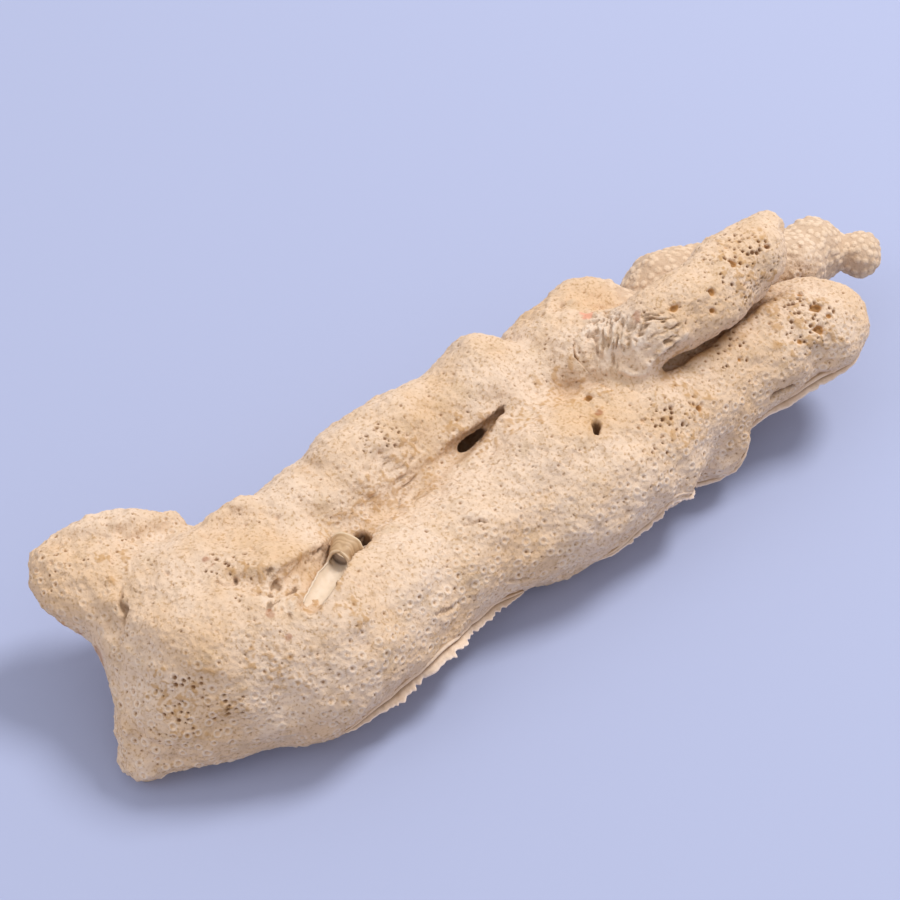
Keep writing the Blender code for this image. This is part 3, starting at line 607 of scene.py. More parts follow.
def grid_mesh(name, points, marks, folded=False):
    """A closed mesh from a grid whose columns go round. Rows run from pole to pole, and the first and the
    last row become one point each. Where the grid is folded, a row runs along one face of a sheet and
    back along the other, and the two faces are joined across at both ends. The map named for the bake is
    the grid itself, laid out flat."""
    rows, columns = points.shape[:2]
    if folded:
        place = points.reshape(-1, 3)
        index = np.arange(rows * columns).reshape(rows, columns)
    else:
        poles = points[[0, -1]].mean(1)
        place = np.concatenate([poles[:1], points[1:-1].reshape(-1, 3), poles[1:]])
        index = 1 + np.arange((rows - 2) * columns).reshape(rows - 2, columns)
    place = (place - np.array(ORIGIN)) * MM
    after = np.roll(index, -1, axis=1)
    quads = np.stack([index[:-1], after[:-1], after[1:], index[1:]], -1).reshape(-1, 4)
    level = np.linspace(0, 1, rows) if folded else np.linspace(0, 1, rows)[1:-1]
    turn = np.arange(columns + 1) / columns
    corner_level = np.stack([level[:-1], level[:-1], level[1:], level[1:]], -1)[:, None]
    corner_turn = np.stack([turn[:-1], turn[1:], turn[1:], turn[:-1]], -1)[None]
    shape = (len(level) - 1, columns, 4)
    layout = [np.stack([np.broadcast_to(corner_turn, shape), np.broadcast_to(corner_level, shape)], -1)]
    corners, sizes = [quads.ravel()], [np.full(len(quads), 4)]
    if folded:
        half = columns // 2
        near = np.arange(half - 1)
        far = columns - 1 - near
        for ring, flip, place_v in ((index[0], True, 0.0), (index[-1], False, 1.0)):
            strip = np.stack([ring[near], ring[near + 1], ring[far - 1], ring[far]], 1)
            spots = np.stack([turn[near], turn[near + 1], turn[near + 1], turn[near]], 1)
            levels = place_v + np.array([0, 0, 1, 1]) * (0.5 - place_v) * SEAM_SHARE + 0 * spots
            corners.append((strip[:, ::-1] if flip else strip).ravel())
            layout.append(np.stack([spots, levels], -1)[:, ::-1 if flip else 1])
            sizes.append(np.full(len(strip), 4))
    else:
        middle = (turn[:-1] + turn[1:]) / 2
        ends = ((0, index[0], 0.0, level[0], 1), (len(place) - 1, index[-1], 1.0, level[-1], -1))
        for pole, ring, pole_level, ring_level, way in ends:
            pair = (np.roll(ring, -1), ring)[::way]
            corners.append(np.stack([np.full(columns, pole), *pair], 1).ravel())
            spots = np.stack([middle, *(turn[1:], turn[:-1])[::way]], 1)
            levels = np.broadcast_to(np.array([pole_level, ring_level, ring_level]), spots.shape)
            layout.append(np.stack([spots, levels], -1))
            sizes.append(np.full(columns, 3))
    corners, sizes = np.concatenate(corners), np.concatenate(sizes)
    layout = np.concatenate([part.reshape(-1, 2) for part in layout])
    starts = np.concatenate([[0], np.cumsum(sizes)[:-1]])
    a, b, c = (place[corners[starts + k]] for k in range(3))
    if np.einsum("ij,ij->i", a, np.cross(b, c)).sum() < 0:
        corners, layout = backwards(corners, sizes), backwards(layout, sizes)
    mesh = bpy.data.meshes.new(name)
    mesh.vertices.add(len(place))
    mesh.vertices.foreach_set("co", place.astype(np.float32).ravel())
    mesh.loops.add(len(corners))
    mesh.loops.foreach_set("vertex_index", corners.astype(np.int32))
    mesh.polygons.add(len(sizes))
    mesh.polygons.foreach_set("loop_start", starts.astype(np.int32))
    mesh.update(calc_edges=True)
    mesh.uv_layers.new(name=BAKE_MAP).data.foreach_set("uv", layout.astype(np.float32).ravel())
    for mark, values in marks.items():
        if not folded:
            values = np.concatenate([[values[0].mean()], values[1:-1].ravel(), [values[-1].mean()]])
        attribute = mesh.attributes.new(mark, "FLOAT", "POINT")
        attribute.data.foreach_set("value", values.astype(np.float32).ravel())
    mesh.shade_smooth()
    mesh.validate()
    return mesh


def backwards(corners, sizes):
    """The corners of each face in the other order."""
    starts = np.concatenate([[0], np.cumsum(sizes)[:-1]])
    face = np.repeat(np.arange(len(sizes)), sizes)
    within = np.arange(len(corners)) - starts[face]
    return corners[starts[face] + sizes[face] - 1 - within]


# How far from the flat underside the relief has grown to its full height.
FLOOR_FADE = (0.15, 1.1)
# Lumps, grit and grain of the surface: size, height and seed of each layer of noise.
NOISE_LAYERS = ((11.0, 0.6, 11), (5.0, 0.42, 12), (2.3, 0.26, 13), (1.25, 0.18, 14), (0.72, 0.16, 15))
# Where the noise stands higher, as the surface broke off or grew in lumps, as (x, y, z, radius).
CRAGGY = [(-108, 20, 32, 17), (-90, 22, 40, 13), (-107, -26, 10, 17), (-100, 0, 36, 12), (76, -21, 14, 15),
          (53, 4, 51, 10), (50, 25, 48, 11), (113, -14, 30, 12), (-66, 9, 43, 9)]
# Where the surface is riddled with fine pores, as (x, y, z, radius).
POROUS = [(61, -20, 42, 11), (52, -24, 40, 7), (84, -8, 44, 12), (97, 3, 62, 16), (-97, -32, 30, 11),
          (-86, -37, 28, 8), (-17, 7, 47, 8), (111, -8, 42, 13), (-74, -9, 45, 7), (66, 1, 58, 7)]
# Patches where the skeleton's threads stand out: centre, radius, heading of the threads, their width and
# height, 1 for sharp needles and 0 for rounded strands, and how brown the gaps between them are painted,
# as shade.
THREADS = (
    ((54, 8, 54), 9.5, (0.37, 0.64, 0.67), 0.66, 0.85, 0.3, 0.5),
    ((65, -3, 56), 8.5, (0.85, -0.4, 0.35), 0.62, 0.75, 0.3, 0.8),
    ((57, 1, 55), 8.0, (0.6, 0.3, 0.7), 0.7, 0.6, 0.2, 0.5),
    ((52, 1, 50), 6.5, (0.2, 0.5, 0.8), 0.7, 0.6, 0.3, 0.5),
    ((-62, -24, 45), 11.0, (-0.75, -0.62, 0.24), 1.1, 0.6, 0.4, 0.9),
    ((-49, -26, 42), 7.0, (-0.68, -0.7, 0.2), 1.0, 0.4, 0.3, 0.8),
    ((-18, -2, 39), 12.0, (0.9, 0.3, 0.1), 1.0, 0.4, 0.3, 0.6),
)
# How far the threads bend, over which length, and by how much they are drawn out, as 1 less the share of
# their length that is left.
BEND, BEND_LENGTH = 1.6, 3.5
DRAWN_OUT = 0.75
# Cracks, lips and dents: height, negative where sunk, width of the slopes, share of brown, painted shade
# in the sunk ones, and of pale, painted highlight on the raised ones, and the route.
LINES = (
    (-0.7, 0.6, 0.5, 0.0, [(-9.7, -23.2, 38.9, 0.1), (-6.2, -24.1, 39.3, 0.3), (-2.9, -25.2, 39.2, 0.1)]),
    (0.4, 1.6, 0.0, 0.4, [(-10, -21.2, 40, 0.2), (-5.5, -22, 40.4, 0.5), (-2, -23.6, 40.2, 0.2)]),
    (-0.3, 3.2, 0.5, 0.0, [(2, 0.8, 40, 0.3), (9, 3.2, 40, 0.6), (15, 4.5, 40.5, 0.3)]),
    (-1.1, 0.7, 0.7, 0.0, [(-97.5, 1.5, 40.4, 0.1), (-98.4, -1.6, 39.8, 0.3), (-99.3, -4.3, 38.9, 0.5),
                           (-102, -6.5, 36.6, 0.1)]),
    (-0.7, 0.7, 0.5, 0.0, [(45, 23.5, 49, 0.1), (50, 25, 49, 0.2), (55, 27, 47.8, 0.1)]),
    (-1.1, 0.8, 0.7, 0.0, [(-77, -12.5, 46.4, 0.1), (-74, -16, 46.6, 0.4), (-71.5, -15, 45.8, 0.2)]),
    (-0.8, 0.8, 0.6, 0.0, [(-26.5, -40.3, 30, 0.2), (-23, -39.5, 28.6, 0.3), (-19, -38.6, 27.6, 0.1)]),
    (-0.7, 0.8, 0.5, 0.0, [(-1, -35.4, 23.4, 0.1), (5, -35.2, 21.5, 0.2)]),
    (-1.5, 1.3, 0.9, 0.0, [(94.5, -18.4, 28.6, 0.1), (99, -17.8, 28.6, 0.5), (102.5, -17, 28, 0.2)]),
    (-1.0, 4.0, 0.12, 0.0, [(49.6, 5, 51, 1.0), (51.5, 0.5, 50.2, 1.0)]),
    (0.8, 1.3, 0.0, 0.6, [(51.2, -2.5, 49.2, 0.1), (55.9, -7.4, 47.5, 0.3), (62.3, -7, 53.2, 0.4),
                          (71, -7.3, 57, 0.1)]),
    (-0.9, 0.8, 0.8, 0.0, [(47.5, -4.5, 45.5, 0.1), (52, -9, 43.5, 0.3), (58, -10.5, 45, 0.1)]),
    (-1.3, 1.0, 0.8, 0.0, [(-46, -13, 40.5, 0.1), (-54, -19.8, 42, 0.3), (-61, -26, 44.5, 0.1)]),
)
# Stains: name of the mark, how ragged and how speckled it is, and its balls as (x, y, z, radius).
STAINS = {
    "pink": (0.3, 0.0, [(54.3, 17.6, 51, 3.1), (53.2, 15.6, 51.6, 2.4)]),
    "rust": (0.9, 0.3, [(-67.9, -35.6, 42.2, 1.7), (-69.4, -29, 45.3, 1.8), (-112.8, 8.5, 28.3, 4.0),
             (-107.5, -3.9, 24.7, 4.0), (-110.5, 3, 27, 3.0), (40.5, -11, 43, 2.2), (83.5, 0.5, 47, 4.5),
             (-76, -6.4, 46, 3.0), (60, 2, 60, 3.0)]),
    "ochre": (0.9, 1.0, [
              (-76.6, -35.8, 40.6, 7), (-71.5, -42.8, 34.9, 8), (-86.8, -39.1, 32.3, 8), (22, -2.7, 43.6, 9),
              (-49.5, -37.4, 43.6, 8), (44.1, -6.9, 44.9, 7), (-10.3, 1, 41, 11), (8, 2, 42, 12),
              (-24.2, -4.5, 36.9, 12), (-18.3, -4.9, 35.9, 10), (-97, -32, 31, 16), (-55, -24, 43, 14),
              (63, -20, 43, 15), (111, -9, 42, 17), (97, 2, 62, 16), (67, 0, 44, 15), (36, 2, 47, 13),
              (-95, 8, 43, 9), (-70, -16, 45, 9), (-38, -8, 41, 9)]),
}


class Detail:
    """All that is scattered over the coral, made once and used by every branch."""

    def __init__(self, sizes):
        self.sizes = sizes
        spacing = sizes.cup_spacing / MM
        self.cups = Scatter(spacing, spacing * 0.76, 21)
        self.pores = Scatter(*PORE_SPACING, 22)
        self.beads = Scatter(*BEAD_SPACING, 23, BEADED_BOX)
        pits = Scatter(*PIT_SPACING, 24)
        drilled = np.array(BORED_PITS)
        chance = pits.size + 0.35 * np.minimum(nearness(pits.points, POROUS), 1)
        high = (pits.points[:, 2] > PITS_ABOVE) & (chance > NO_PIT)
        self.pits = np.concatenate([surface_below(drilled[:, 0], drilled[:, 1]), pits.points[high]])
        small = PIT_RADIUS + PIT_GROWTH * (chance[high] - NO_PIT)
        self.pit_radii = np.concatenate([drilled[:, 2], small]).astype(np.float32)
        self.holes = [Chain(rows) for rows in DEEP_HOLES]
        self.lines = [(*line[:4], Chain(line[4])) for line in LINES]


def nearness(p, balls):
    """How deep p lies in the nearest of the balls (x, y, z, radius): 1 at a centre, 0 outside them all."""
    out = np.zeros(len(p), np.float32)
    for x, y, z, radius in balls:
        away = np.linalg.norm(p - np.array((x, y, z), np.float32), axis=1)
        out = np.maximum(out, 1 - away / np.float32(radius))
    return out


def bead_share(p):
    """1 where the surface is beaded, on the rear arm, the knobs and the low side behind them."""
    rear = ease(p[:, 1], 17.0, 22.0) * ease(p[:, 0], 62.0, 74.0)
    return np.maximum(rear, ease(p[:, 0], 132.0, 136.0))


def cup_relief(detail, p, plain, crisp):
    """(height, ring, well) of the cups: a bell of the distance from the ring, and a step down at its
    middle. Worn cups keep little of their ring, and some are worn away. The ring is painted as highlight and
    the well as shade."""
    sizes = detail.sizes
    away, which = detail.cups.nearest(p)
    size = detail.cups.size[which]
    other = (size * 7.31) % 1.0
    away = away / (sizes.cup_radius / MM * (0.82 + 0.36 * size))
    left = ease(crisp + 0.8 * other, 0.35, 0.75)
    ring = np.exp(-((away - 1.0) / RING_WIDTH) ** 2) * (0.1 + 0.9 * crisp) * left * plain
    well = ease(away, 0.55, 0.2) * left * plain
    saucer = ease(away, 0.9, 0.4) * left * plain
    height = ring * np.float32(sizes.cup_rim / MM) - well * np.float32(sizes.cup_depth / MM)
    return height - saucer * 0.1, ring, well * (0.15 + 0.85 * other ** 2)


def pore_relief(detail, p, plain, broad):
    """(height, pore) of the fine pores: steps down of random width, many where the surface is riddled. The
    pore is painted as shade.
    """
    away, which = detail.pores.nearest(p)
    size = detail.pores.size[which]
    riddled = ease(nearness(p, POROUS) + 0.15 * broad, 0.0, 0.6)
    left = ease(size + 0.4 * riddled + 0.1 * broad, 0.8, 0.88) * plain
    other = (size * 5.17) % 1.0
    finest, by_chance, by_riddling = PORE_RADII
    radius = finest + by_chance * other + by_riddling * riddled * other ** 2
    pore = ease(away / radius, 1.25, 0.6) * left
    return -pore * (0.15 + 0.3 * other + 0.6 * riddled), pore * (0.4 + 0.4 * other + 0.4 * riddled)


def bored_relief(detail, p, ragged, wobble):
    """(depth of the bored pits, depth of the deep holes, brown round the holes): a step down inside each
    mouth, in space that is bent by noise."""
    pits, holes, halo = (np.zeros(len(p), np.float32) for _ in range(3))
    low, high = p.min(0) - detail.pit_radii.max() * 2, p.max(0) + detail.pit_radii.max() * 2
    for centre, radius in zip(detail.pits, detail.pit_radii):
        if ((centre < low) | (centre > high)).any():
            continue
        near = np.flatnonzero(np.abs(p - centre).max(1) < radius * 1.7)
        gap = np.linalg.norm(p[near] - centre, axis=1) / radius * ragged[near]
        pits[near] = np.maximum(pits[near], ease(gap, 1.2, 0.3) * min(PIT_DEPTH, 0.95 * radius))
    for hole in detail.holes:
        if not hole.far_from(p, 5.0):
            gap = hole.distance(p + np.float32(0.4) * wobble)
            holes = np.maximum(holes, HOLE_DEPTH * ease(gap, 0.1, -1.5))
            halo = np.maximum(halo, ease(gap * ragged, 4.0, 0.3))
    return pits, holes, halo


def thread_relief(p):
    """(height, gap, share) of the patches of threads: noise drawn out four times along their heading, with
    sharp crests where they are needles. The gap is how brown the low places are painted, as shade."""
    height, gap, shares = (np.zeros(len(p), np.float32) for _ in range(3))
    for centre, radius, heading, width, tall, needles, browned in THREADS:
        near = np.flatnonzero(np.linalg.norm(p - np.float32(centre), axis=1) < radius * 1.2)
        if not len(near):
            continue
        q = p[near]
        share = ease(nearness(q, [(*centre, radius)]) + 0.25 * lattice_noise(q, 2.5, 41), 0.05, 0.45)
        along = np.array(heading, np.float32) / np.float32(np.linalg.norm(heading))
        bent = q + BEND * lattice_noise(q, BEND_LENGTH, 42)[:, None] * np.float32((0.3, 1.0, 0.4))
        squeezed = bent - (bent @ along)[:, None] * along * np.float32(DRAWN_OUT)
        strand = 1.3 * lattice_noise(squeezed, width, 43)
        crest = strand * (1 - needles) + (1 - 3.0 * np.abs(strand)) * needles
        height[near] += share * crest * np.float32(tall)
        gap[near] = np.maximum(gap[near], share * browned * ease(crest, 0.0, -0.6))
        shares[near] = np.maximum(shares[near], share)
    return height, gap, shares


def line_relief(detail, p, wobble):
    """(height, brown, pale) of the cracks, lips and dents: an eased step of the distance to each route, in
    space that is bent a little by noise. Brown is painted shade in the sunk ones and pale painted highlight
    on the raised ones."""
    height, brown, pale = (np.zeros(len(p), np.float32) for _ in range(3))
    for tall, slope, dark, light, chain in detail.lines:
        if not chain.far_from(p, slope * 1.5):
            share = ease(chain.distance(p + wobble), slope, 0.0)
            height += np.float32(tall) * share
            brown = np.maximum(brown, dark * share)
            pale = np.maximum(pale, light * share)
    return height, brown, pale


def relief(detail, branch, points, normals, shade, depth):
    """The branch's surface with its relief, and its marks, some of which are painted shade and painted
    highlight.

    Layers of noise roughen the whole surface, and more where it is craggy. Cups, pores, bored pits,
    threads, cracks and lips are added, each with a formula of its own. Beads are low domes over the nearest
    of their points. All fades out at the flat underside and inside the coral."""
    shape = shade.shape
    p, shade, depth = points.reshape(-1, 3), shade.ravel(), depth.ravel()
    noise = {layer[0]: lattice_noise(p, layer[0], layer[2]) for layer in NOISE_LAYERS}
    broad = lattice_noise(p, 16.0, 31)
    ragged = 1 + 0.45 * noise[2.3] + 0.35 * noise[1.25]
    height = sum(noise[size] * np.float32(tall) for size, tall, _ in NOISE_LAYERS)
    height += np.minimum(1.8 * nearness(p, CRAGGY), 1) * (0.5 * noise[5.0] + 0.4 * noise[2.3])
    bead = bead_share(p)
    threads, gap, threaded = thread_relief(p)
    plain = (1 - bead) * (1 - 0.85 * threaded)
    crisp = np.clip(ease(p[:, 2], 52.0, 30.0) * 0.95 + 0.3 * broad, 0.08, 1.0)
    raised, ring, well = cup_relief(detail, p, plain, crisp)
    sunk, pore = pore_relief(detail, p, plain, broad)
    wobble = 0.9 * np.stack([noise[2.3], noise[1.25], noise[5.0]], 1)
    drawn, brown, pale = line_relief(detail, p, wobble)
    height += raised + sunk + threads + drawn
    # Raised thread crests get a painted highlight.
    pale = np.maximum(pale, 0.8 * threaded * ease(threads, -0.1, 0.4))
    away, _ = detail.beads.nearest(p)
    dome = np.sqrt(np.maximum(1 - (away / BEAD_RADIUS) ** 2, 0))
    height = height * (1 - 0.5 * bead) + bead * dome * np.float32(detail.sizes.bead_height / MM)
    pits, holes, halo = bored_relief(detail, p, ragged, wobble)
    height = height - pits - holes
    hidden = ease(depth, -0.9, -0.15)
    clear = ease(p[:, 2], ORIGIN[2] + FLOOR_FADE[0], ORIGIN[2] + FLOOR_FADE[1])
    height *= hidden * clear
    height -= DIP * np.clip(past_forks(branch, p), 0, 1)
    moved = p + normals.reshape(-1, 3) * height[:, None]
    moved[:, 2] = np.maximum(moved[:, 2], ORIGIN[2])
    blotch = noise[5.0] + noise[2.3] + 0.8 * noise[1.25]
    speckle = ease(0.8 * noise[1.25] + noise[0.72] + 0.5 * noise[2.3], -0.1, 0.7)
    marks = {
        # deep: painted shade, brown, in hollows and crevices, from how enclosed the surface is.
        # pale: painted highlight on raised cup rings, lips and thread crests.
        # pit: painted shade in the cups' wells and the pores.
        "pit": np.maximum(well, pore), "pale": np.maximum(0.75 * ring, pale), "deep": np.clip(shade, 0, 2),
        # dark: painted shade in the deep holes, the sunk cracks and the gaps between threads.
        "bored": ease(pits, 0.15, 1.4), "dark": np.maximum.reduce([brown, 0.8 * gap, ease(holes, 0.3, 2.0)]),
        # The mark between the beads is painted shade on the low ground between them.
        "shade_between_beads": bead * ease(dome, 0.75, 0.2), "beaded": bead,
    }
    for stain, (torn, speckled, balls) in STAINS.items():
        blot = ease(nearness(p, balls) * (1 + torn * blotch), 0.1, 0.7)
        marks[stain] = blot * (1 + speckled * (speckle - 1))
    worn_in = ease(shade, 0.1, 0.7) * ease(noise[5.0] + noise[2.3], -0.2, 0.7)
    marks["ochre"] = np.maximum(marks["ochre"], np.maximum(worn_in, halo) * (0.4 + 0.6 * speckle))
    return moved.reshape(shape + (3,)), {k: v.reshape(shape) for k, v in marks.items()}


# Section of a crust, as (out from the coral's side, up, part) in millimetres: the root inside the coral is
# part 0, the lip is part 1 and the blade below their groove is part 2, which goes out by its reach as well.
SECTION = np.array([
    (-2.5, 0.9, 0), (-0.4, 0.75, 0), (0.45, 0.4, 1), (0.7, 0.0, 1), (0.4, -0.35, 1), (-0.7, -0.8, 0),
    (0.25, -1.35, 2), (0.7, -1.65, 2), (0.97, -1.95, 2), (1.0, -2.25, 2), (0.9, -2.5, 2), (0.3, -2.75, 2),
    (-1.5, -3.3, 0), (-3.0, -2.4, 0)])
SECTION_PARTS = 5
CRUST_STEP = 0.3
# How often a crust's course is smoothed.
CRUST_SMOOTHED = 12


def settled_points(p, gap):
    """Points moved along the field's normals to a distance from the coral."""
    for _ in range(8):
        p = p - field_normals(p) * (coral_field(p) - np.float32(gap))[:, None]
    return p


def crust_grid(reach, tooth, sawn, rows):
    """A thin crust along the coral's lower edge: a lip, and below it a blade with a sawn edge.

    The section is carried along the route on the coral's side, and shrinks to its ends. The blade's reach
    is ragged by noise and by teeth, a triangle wave of the way along with the given length and depth."""
    route = smooth_route([(x, y, z, 1.0) for x, y, z in rows])[:, :3]
    lengths = np.concatenate([[0.0], np.cumsum(np.linalg.norm(np.diff(route, axis=0), axis=1))])
    at = np.linspace(0.0, lengths[-1], int(lengths[-1] / CRUST_STEP))
    line = np.stack([np.interp(at, lengths, route[:, k]) for k in range(3)], 1).astype(np.float32)
    line = settled_points(line, 0.0)
    outward = field_normals(line)
    for _ in range(CRUST_SMOOTHED):
        outward[1:-1] = (outward[:-2] + 2 * outward[1:-1] + outward[2:]) / 4
        line[1:-1] = (line[:-2] + 2 * line[1:-1] + line[2:]) / 4
    outward[:, 2] = -0.1
    outward /= np.linalg.norm(outward, axis=1)[:, None]
    fade = np.sin(np.pi * (np.arange(len(at)) + 0.5) / len(at)).astype(np.float32) ** 0.5
    wavy = lattice_noise(line, 5.0, 52)
    uneven = lattice_noise(line, 2.6, 53)
    wave = np.abs(2 * ((at / tooth + 1.1 * uneven) % 1.0) - 1)
    torn = lattice_noise(line, 1.3, 57)
    teeth = (wave - 0.5) * (0.15 + uneven + wavy) + 1.1 * torn
    blade = fade * (reach * (1 + 0.45 * wavy) + sawn * teeth)
    lip = fade * (1 + 0.35 * lattice_noise(line, 3.0, 54))
    reaches = np.stack([np.ones(len(at)), lip, blade])
    part = SECTION[:, 2].astype(int)
    out = SECTION[:, 0, None] * reaches[part]
    up = SECTION[:, 1, None] * fade + 0.25 * wavy * (SECTION[:, 0] * (part == 2))[:, None]
    # growth is 0 on the root, 0.6 on the lip and runs out along the blade; the material paints its low end
    # brown as painted shade in the groove.
    growth = np.array((0.0, 0.6, 1.0))[part] * np.where(part == 2, SECTION[:, 0], 1.0)
    smooth = cubic_weights(len(out), SECTION_PARTS, True)
    out, up, growth = smooth @ out, smooth @ up, smooth @ growth
    loop = line[:, None] + outward[:, None] * out.T[..., None]
    loop[..., 2] += up.T
    flat = loop.reshape(-1, 3).astype(np.float32)
    grit = 0.13 * lattice_noise(flat, 0.9, 55) + 0.15 * lattice_noise(flat, 2.2, 56)
    loop += (grit.reshape(loop.shape[:2]) * fade[:, None])[..., None] * np.float32((0.2, -0.4, 0.6))
    loop[..., 2] = np.maximum(loop[..., 2], ORIGIN[2] + 0.05)
    return loop, {"growth": np.broadcast_to(np.clip(growth, 0, 1), loop.shape[:2])}


# Where the lining's roof ends along its route, from 0 to 1, how wide it flares there and at the inner end,
# how far round the trough opens after it, and how far the trough's end sinks into the coral.
ARCH_END = 0.24
ARCH_RADIUS = 3.1
FLARE_RADIUS = 4.8
TROUGH_OPEN = math.radians(108)
# Radians by which the roof's two edges reach past its top, so that it is closed.
ROOF_LAP = 0.14
TROUGH_SINK = 1.5
RING_SPACING = 1.3
RING_HEIGHT = 0.03
LINING_ROWS = 110
LINING_TURNS = 72


def lining_grid():
    """The burrow's lining: a tube that flares to its inner end, and a trough where its roof is gone.

    Round each point of the route, a section runs along the outer radius from one edge of the opening to
    the other and back along the inner radius. The radius falls from the flare to the arch and eases to the
    route's own. Growth rings are a sine of the way along. The opening eases from nothing to its full
    angle, and the trough's end sinks."""
    route = smooth_route(LINING_ROUTE)
    lengths = np.concatenate([[0.0], np.cumsum(np.linalg.norm(np.diff(route[:, :3], axis=0), axis=1))])
    at = np.linspace(0.0, lengths[-1], LINING_ROWS)
    line = np.stack([np.interp(at, lengths, route[:, k]) for k in range(4)], 1)
    heading = np.gradient(line[:, :3], axis=0)
    heading /= np.linalg.norm(heading, axis=1)[:, None]
    side = np.cross(heading, (0, 0, 1))
    side /= np.linalg.norm(side, axis=1)[:, None]
    up = np.cross(side, heading)
    share = at / at[-1]
    rough = lattice_noise(line[:, :3].astype(np.float32), 1.6, 61)
    before = np.clip(1 - share / ARCH_END, 0, 1)
    flared = ARCH_RADIUS + (FLARE_RADIUS - ARCH_RADIUS) * before ** 1.3
    radius = flared + (line[:, 3] - flared) * ease(share, ARCH_END, ARCH_END + 0.25)
    opening = -ROOF_LAP + (TROUGH_OPEN + 0.12 * rough) * ease(share, ARCH_END - 0.02, ARCH_END + 0.05)
    line[:, 2] -= TROUGH_SINK * ease(share, 0.55, 1.0)
    turn = np.linspace(0, 1, LINING_TURNS)
    angle = opening[:, None] + (2 * math.pi - 2 * opening[:, None]) * turn
    square = np.sin(angle)[..., None] * side[:, None] + np.cos(angle)[..., None] * up[:, None]
    about = line[:, None, :3] + square * radius[:, None, None]
    knobbly = lattice_noise(about.reshape(-1, 3).astype(np.float32), 1.7, 62).reshape(angle.shape)
    phase = at[:, None] * (2 * math.pi / RING_SPACING) + 3.5 * knobbly
    rings = RING_HEIGHT * np.sin(phase) * (share[:, None] < ARCH_END) + 0.22 * knobbly
    tuck = ease(np.abs(2 * turn - 1), 0.965, 1.0)
    edge = 0.4 + 0.6 * np.sin(np.pi * np.clip(turn, 0.02, 0.98)) ** 0.5
    reach = radius[:, None] + rings - 0.35 * tuck
    outer = line[:, None, :3] + square * reach[..., None]
    inner = line[:, None, :3] + square * (reach - LINING_WALL * edge)[..., None]
    loop = np.concatenate([outer, inner[:, ::-1]], 1)
    roof = ease(share, ARCH_END + 0.06, ARCH_END - 0.02)[:, None] * ease(np.abs(2 * turn - 1), 0.2, 0.5)
    marks = {
        "roof": roof, "rings": roof * (0.5 - 0.5 * np.sin(phase)),
        # rim: painted highlight along the flared mouth and the arch's edge.
        "rim": np.maximum(ease(share, 0.03, 0.0), 0.7 * ease(np.abs(share - ARCH_END), 0.03, 0.0))[:, None]
        + 0 * angle,
    }
    marks = {name: np.concatenate([mark, mark[:, ::-1]], 1) for name, mark in marks.items()}
    # deep and inside: painted shadow on the inner face under the roof and deep in the tube before the arch.
    deep = ease(share, ARCH_END, ARCH_END - 0.1)[:, None]
    marks["inside"] = np.maximum(marks["roof"], deep) * (np.arange(loop.shape[1]) >= len(turn))
    return loop, marks


def linear(hex_colour):
    """An sRGB hex colour as linear red, green, blue and 1 for alpha."""
    parts = [int(hex_colour[i:i + 2], 16) / 255 for i in (1, 3, 5)]
    return tuple(c / 12.92 if c <= 0.04045 else ((c + 0.055) / 1.055) ** 2.4 for c in parts) + (1.0,)


def add(tree, kind, settings=None, inputs=None):
    """Adds a node, sets its properties, and sets or links its inputs: a socket links, a value is set."""
    node = tree.nodes.new(kind)
    for key, value in (settings or {}).items():
        setattr(node, key, value)
    for key, value in (inputs or {}).items():
        if isinstance(value, bpy.types.NodeSocket):
            tree.links.new(value, node.inputs[key])
        else:
            node.inputs[key].default_value = value
    return node


def painted_material(name, base, layers, bumps, roughness, ior):
    """A material whose base colour has layers mixed over it, and whose bump is a sum of noises.

    A layer is (source, low, high, share at low, share at high, colour): its share follows an S-curve
    between low and high of the source, a mark of the mesh or a noise with lumps of that many millimetres.
    A bump is (size of its lumps and its height, in millimetres)."""
    material = bpy.data.materials.new(name)
    material.use_nodes = True
    tree = material.node_tree
    shader = tree.nodes["Principled BSDF"]
    place = add(tree, "ShaderNodeTexCoord").outputs["Object"]
    noise = {}
    for size in [layer[0] for layer in layers] + [size for size, _ in bumps]:
        if not isinstance(size, str) and size not in noise:
            noise[size] = add(tree, "ShaderNodeTexNoise", {"noise_dimensions": "4D"}, {
                "Vector": place, "W": 3.0 * len(noise), "Scale": 1 / (size * MM), "Detail": 3.0,
                "Roughness": 0.55}).outputs[0]
    colour = base
    for source, low, high, least, most, paint in layers:
        if isinstance(source, str):
            value = add(tree, "ShaderNodeAttribute", {"attribute_name": source}).outputs["Fac"]
        else:
            value = noise[source]
        share = add(tree, "ShaderNodeMapRange", {"interpolation_type": "SMOOTHSTEP"},
                    {0: value, 1: low, 2: high, 3: least, 4: most}).outputs[0]
        colour = add(tree, "ShaderNodeMix", {"data_type": "RGBA"}, {0: share, 6: colour, 7: paint}).outputs[2]
    tree.links.new(colour, shader.inputs["Base Color"])
    shader.inputs["Roughness"].default_value = roughness
    shader.inputs["IOR"].default_value = ior
    normal = None
    for size, tall in bumps:
        inputs = {"Strength": 1.0, "Distance": tall * MM, "Height": noise[size]}
        if normal:
            inputs["Normal"] = normal
        normal = add(tree, "ShaderNodeBump", None, inputs).outputs[0]
    tree.links.new(normal, shader.inputs["Normal"])
    return material


